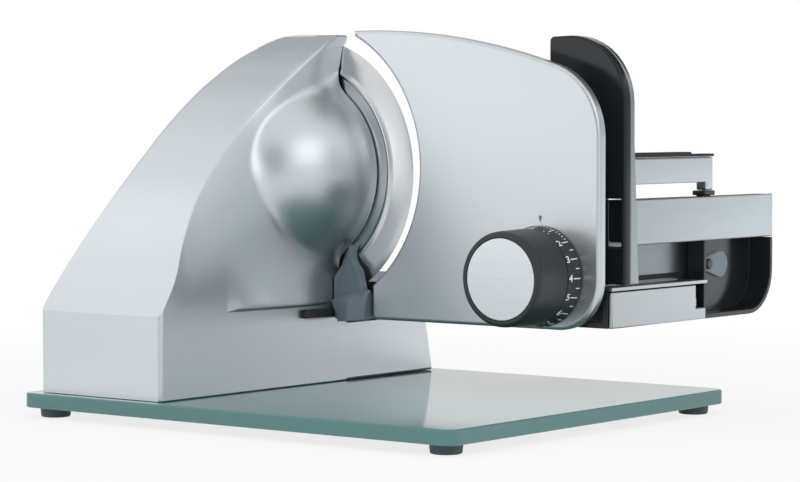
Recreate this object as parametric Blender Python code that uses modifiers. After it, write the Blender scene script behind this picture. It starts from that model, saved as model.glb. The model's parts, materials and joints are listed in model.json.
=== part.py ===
"""Food slicer on a glass base: every sub-part is one object, in metres, +Z up.

The layout is measured from the front left corner of the glass plate's top: X runs along the carriage's
travel, Y across the blade from the slice side to the food side, Z up from the glass. An empty then moves the
whole object so that the origin lies under the middle of its box.
"""

import math

import bmesh
import bpy
from mathutils import Matrix, Vector

GAP = 0.0003
RUNNING_GAP = 0.0007
ROD_GAP = 0.0001
MERGE = 0.00001
CUT_MARGIN = 0.001

GLASS_LENGTH = 0.330
GLASS_WIDTH = 0.284
GLASS_THICKNESS = 0.009
GLASS_CORNER = 0.008
GLASS_EDGE = 0.001
FOOT_RADIUS = 0.0095
FOOT_HEIGHT = 0.006
FOOT_TAPER = 0.0007
FOOT_INSET = 0.015

HOUSING_LEFT = 0.0094
HOUSING_RIGHT = 0.1091
HOUSING_FRONT = 0.0082
HOUSING_CORNER = 0.003
WALL_HEIGHT = 0.0504
FIN_PLANE = 0.174
FIN_HEIGHT = 0.2206
REAR_HEIGHT = 0.038
REAR_END = 0.273
REAR_SLANT = ((0.0, 0.0), (0.004, 0.020), (0.0073, 0.034), (0.0095, REAR_HEIGHT))
REAR_WALL = 0.0105
HOUSING_WALL = 0.0046
# Along the roof: run from the front, rise over the front wall, inset of the left and of the right edge
ROOF = (
    (0.0, 0.0, 0.0, 0.0),
    (0.0130, 0.0206, 0.0039, 0.0014),
    (0.0278, 0.0436, 0.0102, 0.0090),
    (0.0469, 0.0676, 0.0150, 0.0154),
    (0.0703, 0.0916, 0.0173, 0.0184),
    (0.0961, 0.1166, 0.0203, 0.0172),
    (0.1237, 0.1416, 0.0283, 0.0083),
    (0.1478, 0.1606, 0.0425, 0.0002),
    (FIN_PLANE - HOUSING_FRONT, FIN_HEIGHT - WALL_HEIGHT, 0.0583, 0.0),
)
ROOF_STEPS = 2
CORNER_STEPS = 3
SIDE_STEPS = 6

BLADE_X = 0.0798
BLADE_Z = 0.1336
BLADE_RADIUS = 0.085
BLADE_FACE = 0.180
BLADE_DISH = 0.0014
BLADE_BACK = 0.1766
BLADE_RIDGE_RADIUS = 0.0645
BLADE_RIDGE = 0.001
BLADE_BEVEL_RADIUS = 0.080
BLADE_BEVEL = 0.0018
BLADE_EDGE = 0.0003

DOME_RADIUS = 0.060
DOME_DEPTH = 0.073
DOME_BACK = BLADE_BACK - RUNNING_GAP
RING_CLEARANCE = 0.0012
RING_WALL = 0.0015
RING_BACK = 0.182
FLARE_DEPTH = 0.028
FIN_TOP_BACK = 0.184
FIN_TAPER_HEIGHT = 0.0236
# The skirt runs between two places along the roof's table, counted in its rows
SKIRT_START = 3.5
SKIRT_END = 7.5
SKIRT_REACH = 0.0085
SKIRT_HEIGHT = 0.040
SKIRT_SINK = 0.0015
SKIRT_LIP = 0.0025
SKIRT_DEPTH = 0.004
SKIRT_ROWS = 8
SKIRT_STEPS = 5

HUB_RECESS_RADIUS = 0.024
HUB_RECESS = FIN_PLANE - 0.004
GEAR_ROOM_RADIUS = 0.036
GEAR_ROOM_FRONT = 0.124
GEAR_ROOM_BACK = 0.166
WORM_ROOM = 0.0105
WORM_ROOM_TOP = 0.0235
BOSS_RADIUS = 0.014
BOSS_FRONT = 0.144
BEARING_RADIUS = 0.009
BEARING_LENGTH = 0.007
SHAFT_RADIUS = 0.005
SHAFT_FRONT = 0.124
FLANGE_RADIUS = 0.022
LOCK_STEM_RADIUS = 0.004
LOCK_STEM_LENGTH = 0.006
LOCK_RADIUS = 0.016
LOCK_THICKNESS = 0.002
COIN_SLOT = 0.0022
PIN_CIRCLE = 0.014
PIN_RADIUS = 0.002
PIN_LENGTH = 0.0055

GEAR_TEETH = 48
GEAR_MODULE = 0.001333
GEAR_FRONT = 0.128
GEAR_BACK = 0.140
GEAR_ADDENDUM = 0.0012
GEAR_DEDENDUM = 0.0016
GEAR_TIP_WIDTH = 0.0009
GEAR_ROOT_WIDTH = 0.0024
GEAR_HUB_RADIUS = 0.009
WORM_PITCH_RADIUS = 0.008
WORM_TIP_RADIUS = 0.009
WORM_ROOT_RADIUS = 0.0065
WORM_TIP_WIDTH = 0.0008
WORM_ROOT_WIDTH = 0.0022
WORM_TURNS = 6
WORM_SIDES = 12
WORM_RUNOUT = 0.8
MOTOR_SHAFT_RADIUS = 0.004
STATOR_RADIUS = 0.022
STATOR_BOTTOM = 0.018
STATOR_TOP = 0.068
MOTOR_CLEARANCE = 0.002
MOTOR_ROOM_WALL = 0.013
ROTOR_RADIUS = 0.014
ROTOR_GAP = 0.0006
BRACKET_THICKNESS = 0.010
COVER_THICKNESS = 0.0015
CAPACITOR_START = 0.185
CAPACITOR_RADIUS = 0.012
CAPACITOR_LENGTH = 0.050

POST_RADIUS = 0.007
POST_INSET = 0.018
POST_BACK = 0.250
SCREW_RADIUS = 0.0025
SCREW_HEAD_RADIUS = 0.0045
SCREW_HEAD = 0.003
SCREW_LENGTH = 0.028
SCREW_CLEARANCE = 0.00025

GUARD_WIDTH = 0.0264
GUARD_REACH = HOUSING_RIGHT + GUARD_WIDTH
GUARD_NECK = 0.7
GUARD_BOTTOM = 0.0395
GUARD_BLOCK_TOP = 0.052
GUARD_FRONT = 0.160
GUARD_PLATE_FRONT = 0.168
GUARD_PLATE_BACK = 0.1748
GUARD_TONGUE_FRONT = 0.137
GUARD_TONGUE_BOTTOM = 0.042
GUARD_TONGUE_WIDTH = 0.0037
# The leaf in front of the blade: share of the guard's width and height over the glass
GUARD_LEAF = (
    (0.99, 0.0500),
    (0.88, 0.0611),
    (0.76, 0.0720),
    (0.57, 0.0775),
    (0.50, 0.0882),
    (0.24, 0.0741),
    (0.0, 0.0669),
    (0.0, 0.0500),
)

PLATE_FRONT = 0.173
PLATE_RIGHT = 0.309
PLATE_TOP = 0.223
PLATE_BOTTOM = 0.0408
PLATE_CROWN_X = 0.130
PLATE_CROWN_RADIUS = 0.480
PLATE_TOP_CORNER = 0.046
PLATE_LOW_CORNER = 0.0305
PLATE_THROAT_GAP = 0.007
PLATE_THROAT_SHIFT = (0.0022, 0.003)
PLATE_THROAT_TOP_X = 0.1222
PLATE_LEFT_GAP = 0.0012
PLATE_HEEL_RADIUS = 0.004
PLATE_EDGE = 0.003
PLATE_TRAVEL = 0.020

DIAL_X = 0.2665
DIAL_Z = 0.0727
DIAL_FRONT = 0.132
DIAL_BASE_RADIUS = 0.0306
DIAL_BASE_LENGTH = 0.0107
DIAL_NECK_RADIUS = 0.0284
DIAL_NECK_LENGTH = 0.0014
DIAL_BARREL_RADIUS = 0.0298
DIAL_TIP_RADIUS = 0.0282
DIAL_ROUNDING = 0.0022
DIAL_WALL = 0.002
DIAL_FACE_WALL = 0.0045
DISC_RADIUS = 0.0245
DISC_THICKNESS = 0.0012
DIAL_RANGE = 337.5
SLEEVE_RADIUS = 0.019
THREAD_DEPTH = 0.006
THREAD_WIDTH = 0.0064
THREAD_LEAD = PLATE_TRAVEL * 360.0 / DIAL_RANGE
THREAD_STEP = 20.0
AXLE_RADIUS = 0.008
FINGER_RADIUS = 0.003
FINGER_Y = 0.143
ADJUST_ROD_RADIUS = 0.0025
ADJUST_ROD_Z = 0.0497
GUIDE_ROD_RADIUS = 0.004
GUIDE_ROD_X = (0.165, 0.235)
GUIDE_ROD_Z = 0.0483
GUIDE_ROD_LENGTH = 0.060
GUIDE_ROD_SEAT = 0.0035

BEAM_LEFT = 0.012
BEAM_RIGHT = 0.308
BEAM_FRONT = 0.184
BEAM_BACK = 0.290
BEAM_BOTTOM = 0.0423
BEAM_TOP = 0.064
BEAM_SHELF_TOP = 0.0495
BEAM_SHELF_FRONT = 0.2785
BEAM_WALL = 0.003
BEAM_RIB_Y = 0.224
BEAM_FOOT = (0.014, 0.104, 0.192, 0.262)
BEAM_CAP = 0.0027
BEAM_WINDOW = (0.294, 0.304, 0.046, 0.056)
STOP_SCREW_X = 0.3045
STOP_SCREW_Y = 0.2842
STOP_SCREW_RADIUS = 0.0025
STOP_SCREW_HEIGHT = 0.006

TRAY_LEFT = 0.150
TRAY_RIGHT = 0.311
TRAY_THICKNESS = 0.002
TRAY_BACK = 0.2915
TRAY_GROOVES = 12
TRAY_GROOVE = 0.0007
WALL_X = 0.293
WALL_THICKNESS = 0.0024
WALL_FRONT = 0.2035
WALL_SLOT = (0.210, 0.270, 0.0012, 0.0045)
WALL_SLOT_DEPTH = 0.0014
RAIL_BACK = 0.377
RAIL_BOTTOM = 0.093
RAIL_TOP = 0.1185
RAIL_WIDTH = 0.0095
RAIL_GROOVE_WIDTH = 0.005
RAIL_GROOVE_DEPTH = 0.006
RAIL_HEAD_LENGTH = 0.0085
BAND_THICKNESS = 0.0024
BAND_BOTTOM = 0.091
BAND_TOP = 0.1187

SHELL_LEFT = 0.288
SHELL_BOTTOM = 0.042
SHELL_TOP = 0.0905
SHELL_RADIUS = 0.028
SHELL_WALL = 0.003
SHELL_WEB = 0.004
LEVER_ROOM = 0.007
LEVER_Y = 0.3052
LEVER_Z = 0.0758
LEVER_THICKNESS = 0.004
LEVER_BOSS = 0.0048
LEVER_LOBE = 0.0085
LEVER_LOBE_Y = 0.3205
LEVER_LOBE_Z = 0.0752
LEVER_PIN_RADIUS = 0.0018

RUNNER_LEFT = 0.200
RUNNER_RIGHT = 0.276
RUNNER_FRONT = 0.2795
RUNNER_BACK = 0.2895
RUNNER_BOTTOM = 0.050
RUNNER_SCREW_X = (0.215, 0.261)

PUSHER_FRONT = 0.196
PUSHER_LEFT = 0.2567
PUSHER_RIGHT = 0.3122
PUSHER_TOP = 0.2177
PUSHER_BOTTOM = 0.068
PUSHER_CORNER_DROP = 0.041
PUSHER_WIDE_LEFT = 0.190
PUSHER_WIDE_TOP = 0.150
PUSHER_THICKNESS = 0.006
PUSHER_BACK_THICKNESS = 0.0042
PUSHER_FOOT_THICKNESS = 0.0054
PUSHER_NOTCH_GAP = 0.0007
PUSHER_LEAN_TOP = 0.1525
ARM_LEFT = 0.297
ARM_RIGHT = 0.305
ARM_BOTTOM = 0.1275
ARM_TOP = 0.1435
ARM_BACK = 0.308
ARM_LEG = 0.0085
ARM_LEG_BOTTOM = 0.1225
ARM_CAP = 0.0029
ARM_CAP_LOW = 0.0016
ARM_CAP_STEP = 0.281
SLIDER_MARGIN = 0.002
SLIDER_KEY_DEPTH = 0.004

SWITCH_Y = 0.050
SWITCH_Z = 0.028
BUTTON_RADIUS = 0.009
BUTTON_PROUD = 0.0035
SWITCH_TRAVEL = 0.002
INLET_X = 0.034
INLET_Z = 0.016
INLET_RADIUS = 0.007

OBJECT_LEFT = BLADE_X - BLADE_RADIUS - RING_CLEARANCE - RING_WALL
ROUND_SIDES = 40
SMALL_SIDES = 16


def collection(name):
    made = bpy.data.collections.new(name)
    bpy.context.scene.collection.children.link(made)
    return made


def move_to(obj, target):
    for holder in list(obj.users_collection):
        holder.objects.unlink(obj)
    target.objects.link(obj)


def material(name, colour, roughness, metallic):
    made = bpy.data.materials.new(name)
    made.use_nodes = True
    shader = made.node_tree.nodes["Principled BSDF"]
    shader.inputs["Base Color"].default_value = (*colour, 1.0)
    shader.inputs["Roughness"].default_value = roughness
    shader.inputs["Metallic"].default_value = metallic
    made.diffuse_color = (*colour, 1.0)
    return made


def empty(name, location, parent=None):
    made = bpy.data.objects.new(name, None)
    bpy.context.scene.collection.objects.link(made)
    made.location = location
    if parent:
        hang(made, parent)
    return made


def hang(obj, parent):
    """Parent obj and keep it where it stands; every empty is only moved, never turned."""
    obj.parent = parent
    place = Vector(parent.location)
    holder = parent.parent
    while holder:
        obj_offset = parent.matrix_parent_inverse.translation
        place = place + Vector(holder.location) + obj_offset
        holder = holder.parent
    obj.matrix_parent_inverse = Matrix.Translation(-place)


def new_object(name, mesh):
    obj = bpy.data.objects.new(name, mesh)
    bpy.context.scene.collection.objects.link(obj)
    return obj


def bevel(obj, width, segments=2, angle=40):
    edge = obj.modifiers.new("Edge", "BEVEL")
    edge.width = width
    edge.segments = segments
    edge.limit_method = "ANGLE"
    edge.angle_limit = math.radians(angle)
    return obj


def box(name, low, high, edge=0.0, segments=2):
    """A box between two corners, its size applied to the mesh."""
    size = [high[i] - low[i] for i in range(3)]
    middle = [(high[i] + low[i]) / 2 for i in range(3)]
    bpy.ops.mesh.primitive_cube_add(size=1, location=middle)
    obj = bpy.context.object
    obj.name = name
    obj.data.transform(Matrix.Diagonal((*size, 1.0)))
    if edge:
        bevel(obj, edge, segments)
    return obj


TURNS = {"X": (0.0, math.pi / 2, 0.0), "Y": (-math.pi / 2, 0.0, 0.0), "Z": (0.0, 0.0, 0.0)}


def along(axis, centre, start, end):
    """Middle point of a run along an axis; centre holds the two other coordinates in X, Y, Z order."""
    point = list(centre)
    point.insert("XYZ".index(axis), (start + end) / 2)
    return point


def rod(name, axis, centre, start, end, radius, sides=SMALL_SIDES, end_radius=None):
    """A round bar, or a cone when end_radius differs, along an axis."""
    mesh = bpy.data.meshes.new(name)
    form = bmesh.new()
    bmesh.ops.create_cone(
        form,
        cap_ends=True,
        segments=sides,
        radius1=radius,
        radius2=radius if end_radius is None else end_radius,
        depth=end - start,
    )
    form.to_mesh(mesh)
    form.free()
    obj = new_object(name, mesh)
    obj.location = along(axis, centre, start, end)
    obj.rotation_euler = TURNS[axis]
    return obj


def outer_side_first(profile):
    """Order a (radius, height) profile so that its outer side runs from top to bottom."""
    area = 0.0
    for (r1, h1), (r2, h2) in zip(profile, profile[1:] + profile[:1]):
        area += r1 * h2 - r2 * h1
    return profile if area < 0 else profile[::-1]


def turned(name, axis, centre, profile, sides=ROUND_SIDES):
    """A turned solid: profile points are (radius, coordinate along the axis)."""
    profile = outer_side_first(list(profile))
    mesh = bpy.data.meshes.new(name)
    points = [(radius, 0.0, height) for radius, height in profile]
    edges = [(i, i + 1) for i in range(len(points) - 1)]
    if profile[0][0] > 0 or profile[-1][0] > 0:
        edges.append((len(points) - 1, 0))
    mesh.from_pydata(points, edges, [])
    obj = new_object(name, mesh)
    screw = obj.modifiers.new("Turn", "SCREW")
    screw.steps = sides
    screw.render_steps = sides
    screw.use_merge_vertices = True
    screw.merge_threshold = MERGE
    place = list(centre)
    place.insert("XYZ".index(axis), 0.0)
    obj.location = place
    obj.rotation_euler = TURNS[axis]
    return obj


PLANES = {"XY": (0.0, 0.0, 0.0), "XZ": (math.pi / 2, 0.0, 0.0), "YZ": (math.pi / 2, 0.0, math.pi / 2)}
PLANE_NORMAL = {"XY": "Z", "XZ": "Y", "YZ": "X"}


def sheet(name, plane, low, high, outline, holes=(), edge=0.0, segments=2, angle=50):
    """A flat outline with holes, drawn in a plane and extruded from low to high."""
    curve = bpy.data.curves.new(name, "CURVE")
    curve.dimensions = "2D"
    curve.fill_mode = "BOTH"
    curve.extrude = (high - low) / 2
    for ring in (outline, *holes):
        spline = curve.splines.new("POLY")
        spline.points.add(len(ring) - 1)
        spline.use_cyclic_u = True
        for point, (u, v) in zip(spline.points, ring):
            point.co = (u, v, 0.0, 1.0)
    drawn = new_object(name + "_outline", curve)
    bpy.context.view_layer.update()
    evaluated = drawn.evaluated_get(bpy.context.evaluated_depsgraph_get())
    mesh = bpy.data.meshes.new_from_object(evaluated)
    form = bmesh.new()
    form.from_mesh(mesh)
    bmesh.ops.remove_doubles(form, verts=form.verts, dist=MERGE)
    bmesh.ops.recalc_face_normals(form, faces=form.faces)
    form.to_mesh(mesh)
    form.free()
    bpy.data.objects.remove(drawn)
    obj = new_object(name, mesh)
    obj.rotation_euler = PLANES[plane]
    obj.location["XYZ".index(PLANE_NORMAL[plane])] = (low + high) / 2
    if edge:
        bevel(obj, edge, segments, angle)
    return obj


def arc(centre, radius, start, end, steps):
    """Points on an arc from start to end degrees, both ends included."""
    points = []
    for i in range(steps + 1):
        angle = math.radians(start + (end - start) * i / steps)
        points.append((centre[0] + radius * math.cos(angle), centre[1] + radius * math.sin(angle)))
    return points


def circle(centre, radius, sides=SMALL_SIDES):
    return arc(centre, radius, 0.0, 360.0 - 360.0 / sides, sides - 1)


def rounded(low, high, radius, steps=4):
    """A rectangle's outline with round corners."""
    return (
        arc((high[0] - radius, low[1] + radius), radius, -90, 0, steps)
        + arc((high[0] - radius, high[1] - radius), radius, 0, 90, steps)
        + arc((low[0] + radius, high[1] - radius), radius, 90, 180, steps)
        + arc((low[0] + radius, low[1] + radius), radius, 180, 270, steps)
    )


def combine(obj, operation, tools):
    for tool in tools:
        step = obj.modifiers.new(operation.title(), "BOOLEAN")
        step.operation = operation
        step.solver = "EXACT"
        step.object = tool
        tool.hide_render = True
        tool.display_type = "WIRE"
        move_to(tool, CUTTERS)
    return obj


def cut(obj, *tools):
    return combine(obj, "DIFFERENCE", tools)


def join(obj, *tools):
    return combine(obj, "UNION", tools)


def finish(obj, look, body):
    """Give a finished sub-part its material, collection and the body that it moves with."""
    obj.data.materials.clear()
    obj.data.materials.append(look)
    move_to(obj, OBJECT)
    hang(obj, body)
    if obj.type == "MESH":
        obj.data.shade_smooth()
        obj.data.set_sharp_from_angle(angle=math.radians(35))
    return obj


def finish_all(pieces, look, body):
    for piece in pieces:
        finish(piece, look, body)


def post_places():
    left = HOUSING_LEFT + POST_INSET
    right = HOUSING_RIGHT - POST_INSET
    front = HOUSING_FRONT + POST_INSET
    return [(left, front), (right, front), (left, POST_BACK), (right, POST_BACK)]


def glass_base():
    outline = rounded((0.0, 0.0), (GLASS_LENGTH, GLASS_WIDTH), GLASS_CORNER, 5)
    holes = [circle(place, SCREW_RADIUS + SCREW_CLEARANCE, 12) for place in post_places()]
    return sheet("glass_base", "XY", -GLASS_THICKNESS, 0.0, outline, holes, GLASS_EDGE, 1)


def rubber_feet():
    feet = []
    top = -GLASS_THICKNESS
    for x in (FOOT_INSET, GLASS_LENGTH - FOOT_INSET):
        for y in (FOOT_INSET, GLASS_WIDTH - FOOT_INSET):
            low_radius = FOOT_RADIUS - FOOT_TAPER
            name = f"rubber_foot_{len(feet) + 1}"
            feet.append(rod(name, "Z", (x, y), top - FOOT_HEIGHT, top, low_radius, 20, FOOT_RADIUS))
    return feet


def base_screws():
    screws = []
    under = -GLASS_THICKNESS - GAP
    for number, place in enumerate(post_places(), 1):
        profile = [
            (0.0, under - SCREW_HEAD),
            (SCREW_HEAD_RADIUS * 0.8, under - SCREW_HEAD),
            (SCREW_HEAD_RADIUS, under - SCREW_HEAD * 0.6),
            (SCREW_HEAD_RADIUS, under),
            (SCREW_RADIUS, under),
            (SCREW_RADIUS, under + SCREW_LENGTH),
            (0.0, under + SCREW_LENGTH),
        ]
        screws.append(turned(f"base_screw_{number}", "Z", place, profile, 12))
    return screws


def roof_length(row):
    """Length of the roof's profile from a row of its table to the next."""
    return math.dist(ROOF[row][:2], ROOF[row + 1][:2])


def roof_slope(row, column):
    """How fast a column changes along the profile: the slope of a parabola through three rows."""
    last = len(ROOF) - 1
    steps = []
    for start in (max(row - 1, 0), min(row, last - 1)):
        rate = (ROOF[start + 1][column] - ROOF[start][column]) / roof_length(start)
        steps.append((rate, roof_length(start)))
    (before, length_before), (after, length_after) = steps
    return (before * length_after + after * length_before) / (length_before + length_after)


def roof_at(position):
    """Run, rise and both insets on a smooth curve through the roof's table, at a fractional row number."""
    row = min(int(position), len(ROOF) - 2)
    t = position - row
    length = roof_length(row)
    result = []
    for column, (start, end) in enumerate(zip(ROOF[row], ROOF[row + 1])):
        value = (
            (2 * t**3 - 3 * t**2 + 1) * start
            + (t**3 - 2 * t**2 + t) * length * roof_slope(row, column)
            + (-2 * t**3 + 3 * t**2) * end
            + (t**3 - t**2) * length * roof_slope(row + 1, column)
        )
        result.append(value)
    return result


def corner_inset(run):
    """How far the upright front corners lie inside the side planes."""
    if run >= HOUSING_CORNER:
        return 0.0
    return HOUSING_CORNER - math.sqrt(HOUSING_CORNER**2 - (HOUSING_CORNER - run) ** 2)


def roof_positions():
    """Row numbers of the roof table where the housing has a section, closer together at the front corner."""
    first = ROOF[1][0]
    positions = []
    for i in range(CORNER_STEPS + 1):
        run = HOUSING_CORNER * (1 - math.cos(math.pi / 2 * i / CORNER_STEPS))
        positions.append(run / first)
    rows = len(ROOF) - 1
    for i in range(ROOF_STEPS, rows * ROOF_STEPS + 1):
        positions.append(i / ROOF_STEPS)
    return positions


def housing_section(position):
    """One section across the housing, from the bottom left round the right side and the roof to the left."""
    run, rise, left_inset, right_inset = roof_at(position)
    y = HOUSING_FRONT + run
    inset = corner_inset(run)
    left = HOUSING_LEFT + inset
    right = HOUSING_RIGHT - inset
    ring = [(left, y, GAP), (right, y, GAP), (right, y, REAR_HEIGHT), (right, y, WALL_HEIGHT)]
    for i in range(1, SIDE_STEPS + 1):
        s = i / SIDE_STEPS
        ring.append((right - right_inset * s, y, WALL_HEIGHT + rise * s))
    for i in range(SIDE_STEPS, 0, -1):
        s = i / SIDE_STEPS
        ring.append((left + left_inset * s * s, y, WALL_HEIGHT + rise * s))
    ring += [(left, y, WALL_HEIGHT), (left, y, REAR_HEIGHT)]
    return ring


def rear_section(drop, height):
    """The low block behind the blade, as a ring of the housing's four lowest points."""
    y = REAR_END - drop
    return [(HOUSING_LEFT, y, height), (HOUSING_RIGHT, y, height)]


def housing_body():
    """The lofted fin body with the low rear block grown out of its back."""
    form = bmesh.new()
    rings = [[form.verts.new(point) for point in housing_section(p)] for p in roof_positions()]
    count = len(rings[0])
    for front, back in zip(rings, rings[1:]):
        for i in range(count):
            j = (i + 1) % count
            form.faces.new((front[j], front[i], back[i], back[j]))
    form.faces.new(rings[0])
    last = rings[-1]
    form.faces.new([last[i] for i in range(count - 1, 1, -1)])
    end_rows = []
    for drop, z in REAR_SLANT:
        end_rows.append([form.verts.new(point) for point in rear_section(drop, max(z, GAP))])
    left_side = [last[0]] + [row[0] for row in end_rows] + [last[count - 1]]
    right_side = [last[1]] + [row[1] for row in end_rows] + [last[2]]
    form.faces.new(left_side[::-1])
    form.faces.new(right_side)
    for i in range(len(left_side) - 1):
        form.faces.new((left_side[i], left_side[i + 1], right_side[i + 1], right_side[i]))
    bmesh.ops.remove_doubles(form, verts=form.verts, dist=MERGE)
    bmesh.ops.dissolve_degenerate(form, dist=MERGE, edges=form.edges)
    bmesh.ops.recalc_face_normals(form, faces=form.faces)
    mesh = bpy.data.meshes.new("housing_shell")
    form.to_mesh(mesh)
    form.free()
    return new_object("housing_shell", mesh)


def gear_dome():
    """The round bulge over the gear, a quarter ellipse turned about the blade's axis."""
    profile = []
    for u, v in arc((0.0, 0.0), 1.0, 0, 90, 8):
        profile.append((DOME_RADIUS * u, FIN_PLANE - DOME_DEPTH * v))
    profile[-1] = (0.0, FIN_PLANE - DOME_DEPTH)
    profile.append((0.0, DOME_BACK))
    profile.append((DOME_RADIUS, DOME_BACK))
    return turned("gear_dome", "Y", (BLADE_X, BLADE_Z), profile, 40)


def blade_ring():
    """The collar round the covered half of the blade, flaring out of the housing's left side."""
    outer = BLADE_RADIUS + RING_CLEARANCE + RING_WALL
    profile = [(0.0, RING_BACK), (outer, RING_BACK)]
    for u, v in arc((0.0, 0.0), 1.0, 0, 80, 4):
        profile.append((outer * u, FIN_PLANE - FLARE_DEPTH * v))
    profile.append((0.0, FIN_PLANE - FLARE_DEPTH))
    ring = turned("blade_ring", "Y", (BLADE_X, BLADE_Z), profile, 56)
    far = BLADE_X + 2 * BLADE_RADIUS
    side = HOUSING_RIGHT - GAP
    trim = box("ring_trim", (side, 0.0, 0.0), (far, 2 * FIN_PLANE, 2 * FIN_HEIGHT))
    return cut(ring, trim)


def fin_top():
    """The fin's thick upper corner, tapering down towards the dome."""
    front = FIN_PLANE - 2 * CUT_MARGIN
    outline = [
        (front, FIN_HEIGHT - FIN_TAPER_HEIGHT),
        (FIN_PLANE + GAP, FIN_HEIGHT - FIN_TAPER_HEIGHT),
        (FIN_TOP_BACK, FIN_HEIGHT - CUT_MARGIN),
        (FIN_TOP_BACK - CUT_MARGIN, FIN_HEIGHT),
        (front, FIN_HEIGHT - 2 * CUT_MARGIN),
    ]
    return sheet("fin_top", "YZ", BLADE_X - BLADE_RADIUS * 0.2, HOUSING_RIGHT - GAP, outline)


def skirt():
    """The concave skirt under the dome that ends in a thin ledge over the blade guard's tongue."""
    form = bmesh.new()
    rings = []
    for i in range(SKIRT_ROWS + 1):
        t = i / SKIRT_ROWS
        run, rise, _, inset = roof_at(SKIRT_START + (SKIRT_END - SKIRT_START) * t)
        y = HOUSING_FRONT + run
        reach = SKIRT_REACH * math.sin(math.pi * t) - GAP
        low = WALL_HEIGHT - SKIRT_LIP
        inner = HOUSING_RIGHT - SKIRT_DEPTH
        ring = [(inner, y, low), (HOUSING_RIGHT + reach - SKIRT_LIP / 4, y, low)]
        for k in range(SKIRT_STEPS + 1):
            s = k / SKIRT_STEPS
            flank = HOUSING_RIGHT - inset * SKIRT_HEIGHT * s / rise
            ring.append((flank + reach * (1 - s) ** 2 - SKIRT_SINK * s, y, WALL_HEIGHT + SKIRT_HEIGHT * s))
        top = ring[-1]
        ring.append((top[0] - SKIRT_DEPTH, y, top[2] + CUT_MARGIN))
        rings.append([form.verts.new(point) for point in ring])
    count = len(rings[0])
    for front, back in zip(rings, rings[1:]):
        for i in range(count):
            j = (i + 1) % count
            form.faces.new((front[j], front[i], back[i], back[j]))
    form.faces.new(rings[0])
    form.faces.new(rings[-1][::-1])
    bmesh.ops.remove_doubles(form, verts=form.verts, dist=MERGE)
    bmesh.ops.dissolve_degenerate(form, dist=MERGE, edges=form.edges)
    bmesh.ops.recalc_face_normals(form, faces=form.faces)
    mesh = bpy.data.meshes.new("skirt")
    form.to_mesh(mesh)
    form.free()
    return new_object("skirt", mesh)


def housing_rooms():
    """Cutters for the open underside: the low room, the motor room, the worm's loft and the gear room."""
    left = HOUSING_LEFT + HOUSING_WALL
    right = HOUSING_RIGHT - HOUSING_WALL - 2 * GAP
    front = HOUSING_FRONT + HOUSING_WALL + 2 * GAP
    axis_x = worm_x()
    gear_y = motor_y()
    motor_room = STATOR_RADIUS + MOTOR_CLEARANCE
    back = REAR_END - REAR_WALL
    return [
        box("low_room", (left, front, -CUT_MARGIN), (right, GEAR_ROOM_BACK, WALL_HEIGHT - HOUSING_WALL)),
        box(
            "rear_room",
            (left, GEAR_ROOM_BACK - HOUSING_WALL, -CUT_MARGIN),
            (right, back, REAR_HEIGHT - HOUSING_WALL),
        ),
        box(
            "motor_room",
            (axis_x - motor_room, gear_y - motor_room, WALL_HEIGHT - 2 * HOUSING_WALL),
            (HOUSING_RIGHT - MOTOR_ROOM_WALL, GEAR_ROOM_BACK, BLADE_Z - GEAR_ROOM_RADIUS + CUT_MARGIN),
        ),
        box(
            "worm_loft",
            (axis_x - WORM_ROOM, GEAR_ROOM_FRONT, BLADE_Z - GEAR_ROOM_RADIUS - 2 * CUT_MARGIN),
            (BLADE_X, GEAR_ROOM_BACK, BLADE_Z + WORM_ROOM_TOP),
        ),
        rod(
            "gear_room",
            "Y",
            (BLADE_X, BLADE_Z),
            GEAR_ROOM_FRONT,
            GEAR_ROOM_BACK - GAP,
            GEAR_ROOM_RADIUS,
            ROUND_SIDES,
        ),
    ]


def blade_recess():
    """Round pocket for the blade; the gear dome stands up in its middle, close behind the disc."""
    outer = BLADE_RADIUS + RING_CLEARANCE
    far = FIN_TOP_BACK + CUT_MARGIN
    inner = DOME_RADIUS - GAP
    profile = [
        (0.0, DOME_BACK - ROD_GAP),
        (inner, DOME_BACK - ROD_GAP),
        (inner, FIN_PLANE),
        (outer, FIN_PLANE),
        (outer, far),
        (0.0, far),
    ]
    return turned("blade_recess", "Y", (BLADE_X, BLADE_Z), profile, 60)


def housing_shell():
    shell = housing_body()
    join(shell, gear_dome(), blade_ring(), fin_top(), skirt())
    centre = (BLADE_X, BLADE_Z)
    cut(shell, blade_recess(), *housing_rooms())
    boss = rod("bearing_boss", "Y", centre, BOSS_FRONT, GEAR_ROOM_BACK + CUT_MARGIN, BOSS_RADIUS, 32)
    posts = []
    for x, y in post_places():
        top = WALL_HEIGHT - HOUSING_WALL if y < FIN_PLANE else REAR_HEIGHT - HOUSING_WALL
        posts.append(rod("post", "Z", (x, y), GAP, top + CUT_MARGIN, POST_RADIUS))
    join(shell, boss, *posts)
    bore_radius = BEARING_RADIUS + GAP
    bore = rod("bearing_bore", "Y", centre, BOSS_FRONT - CUT_MARGIN, HUB_RECESS + CUT_MARGIN, bore_radius, 32)
    hub = rod("hub_recess", "Y", centre, HUB_RECESS, DOME_BACK + CUT_MARGIN, HUB_RECESS_RADIUS, 32)
    depth = SCREW_LENGTH - GLASS_THICKNESS + CUT_MARGIN
    screws = [
        rod("post_hole", "Z", place, -CUT_MARGIN, depth, SCREW_RADIUS + SCREW_CLEARANCE, 16)
        for place in post_places()
    ]
    switch_side = HOUSING_LEFT + HOUSING_WALL + CUT_MARGIN
    button = rod(
        "button_hole",
        "X",
        (SWITCH_Y, SWITCH_Z),
        HOUSING_LEFT - CUT_MARGIN,
        switch_side,
        BUTTON_RADIUS + GAP,
        24,
    )
    inlet = rod("inlet_hole", "Y", (INLET_X, INLET_Z), REAR_END - 0.020, REAR_END, INLET_RADIUS + GAP, 24)
    return cut(shell, hub, bore, button, inlet, *screws)


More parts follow.
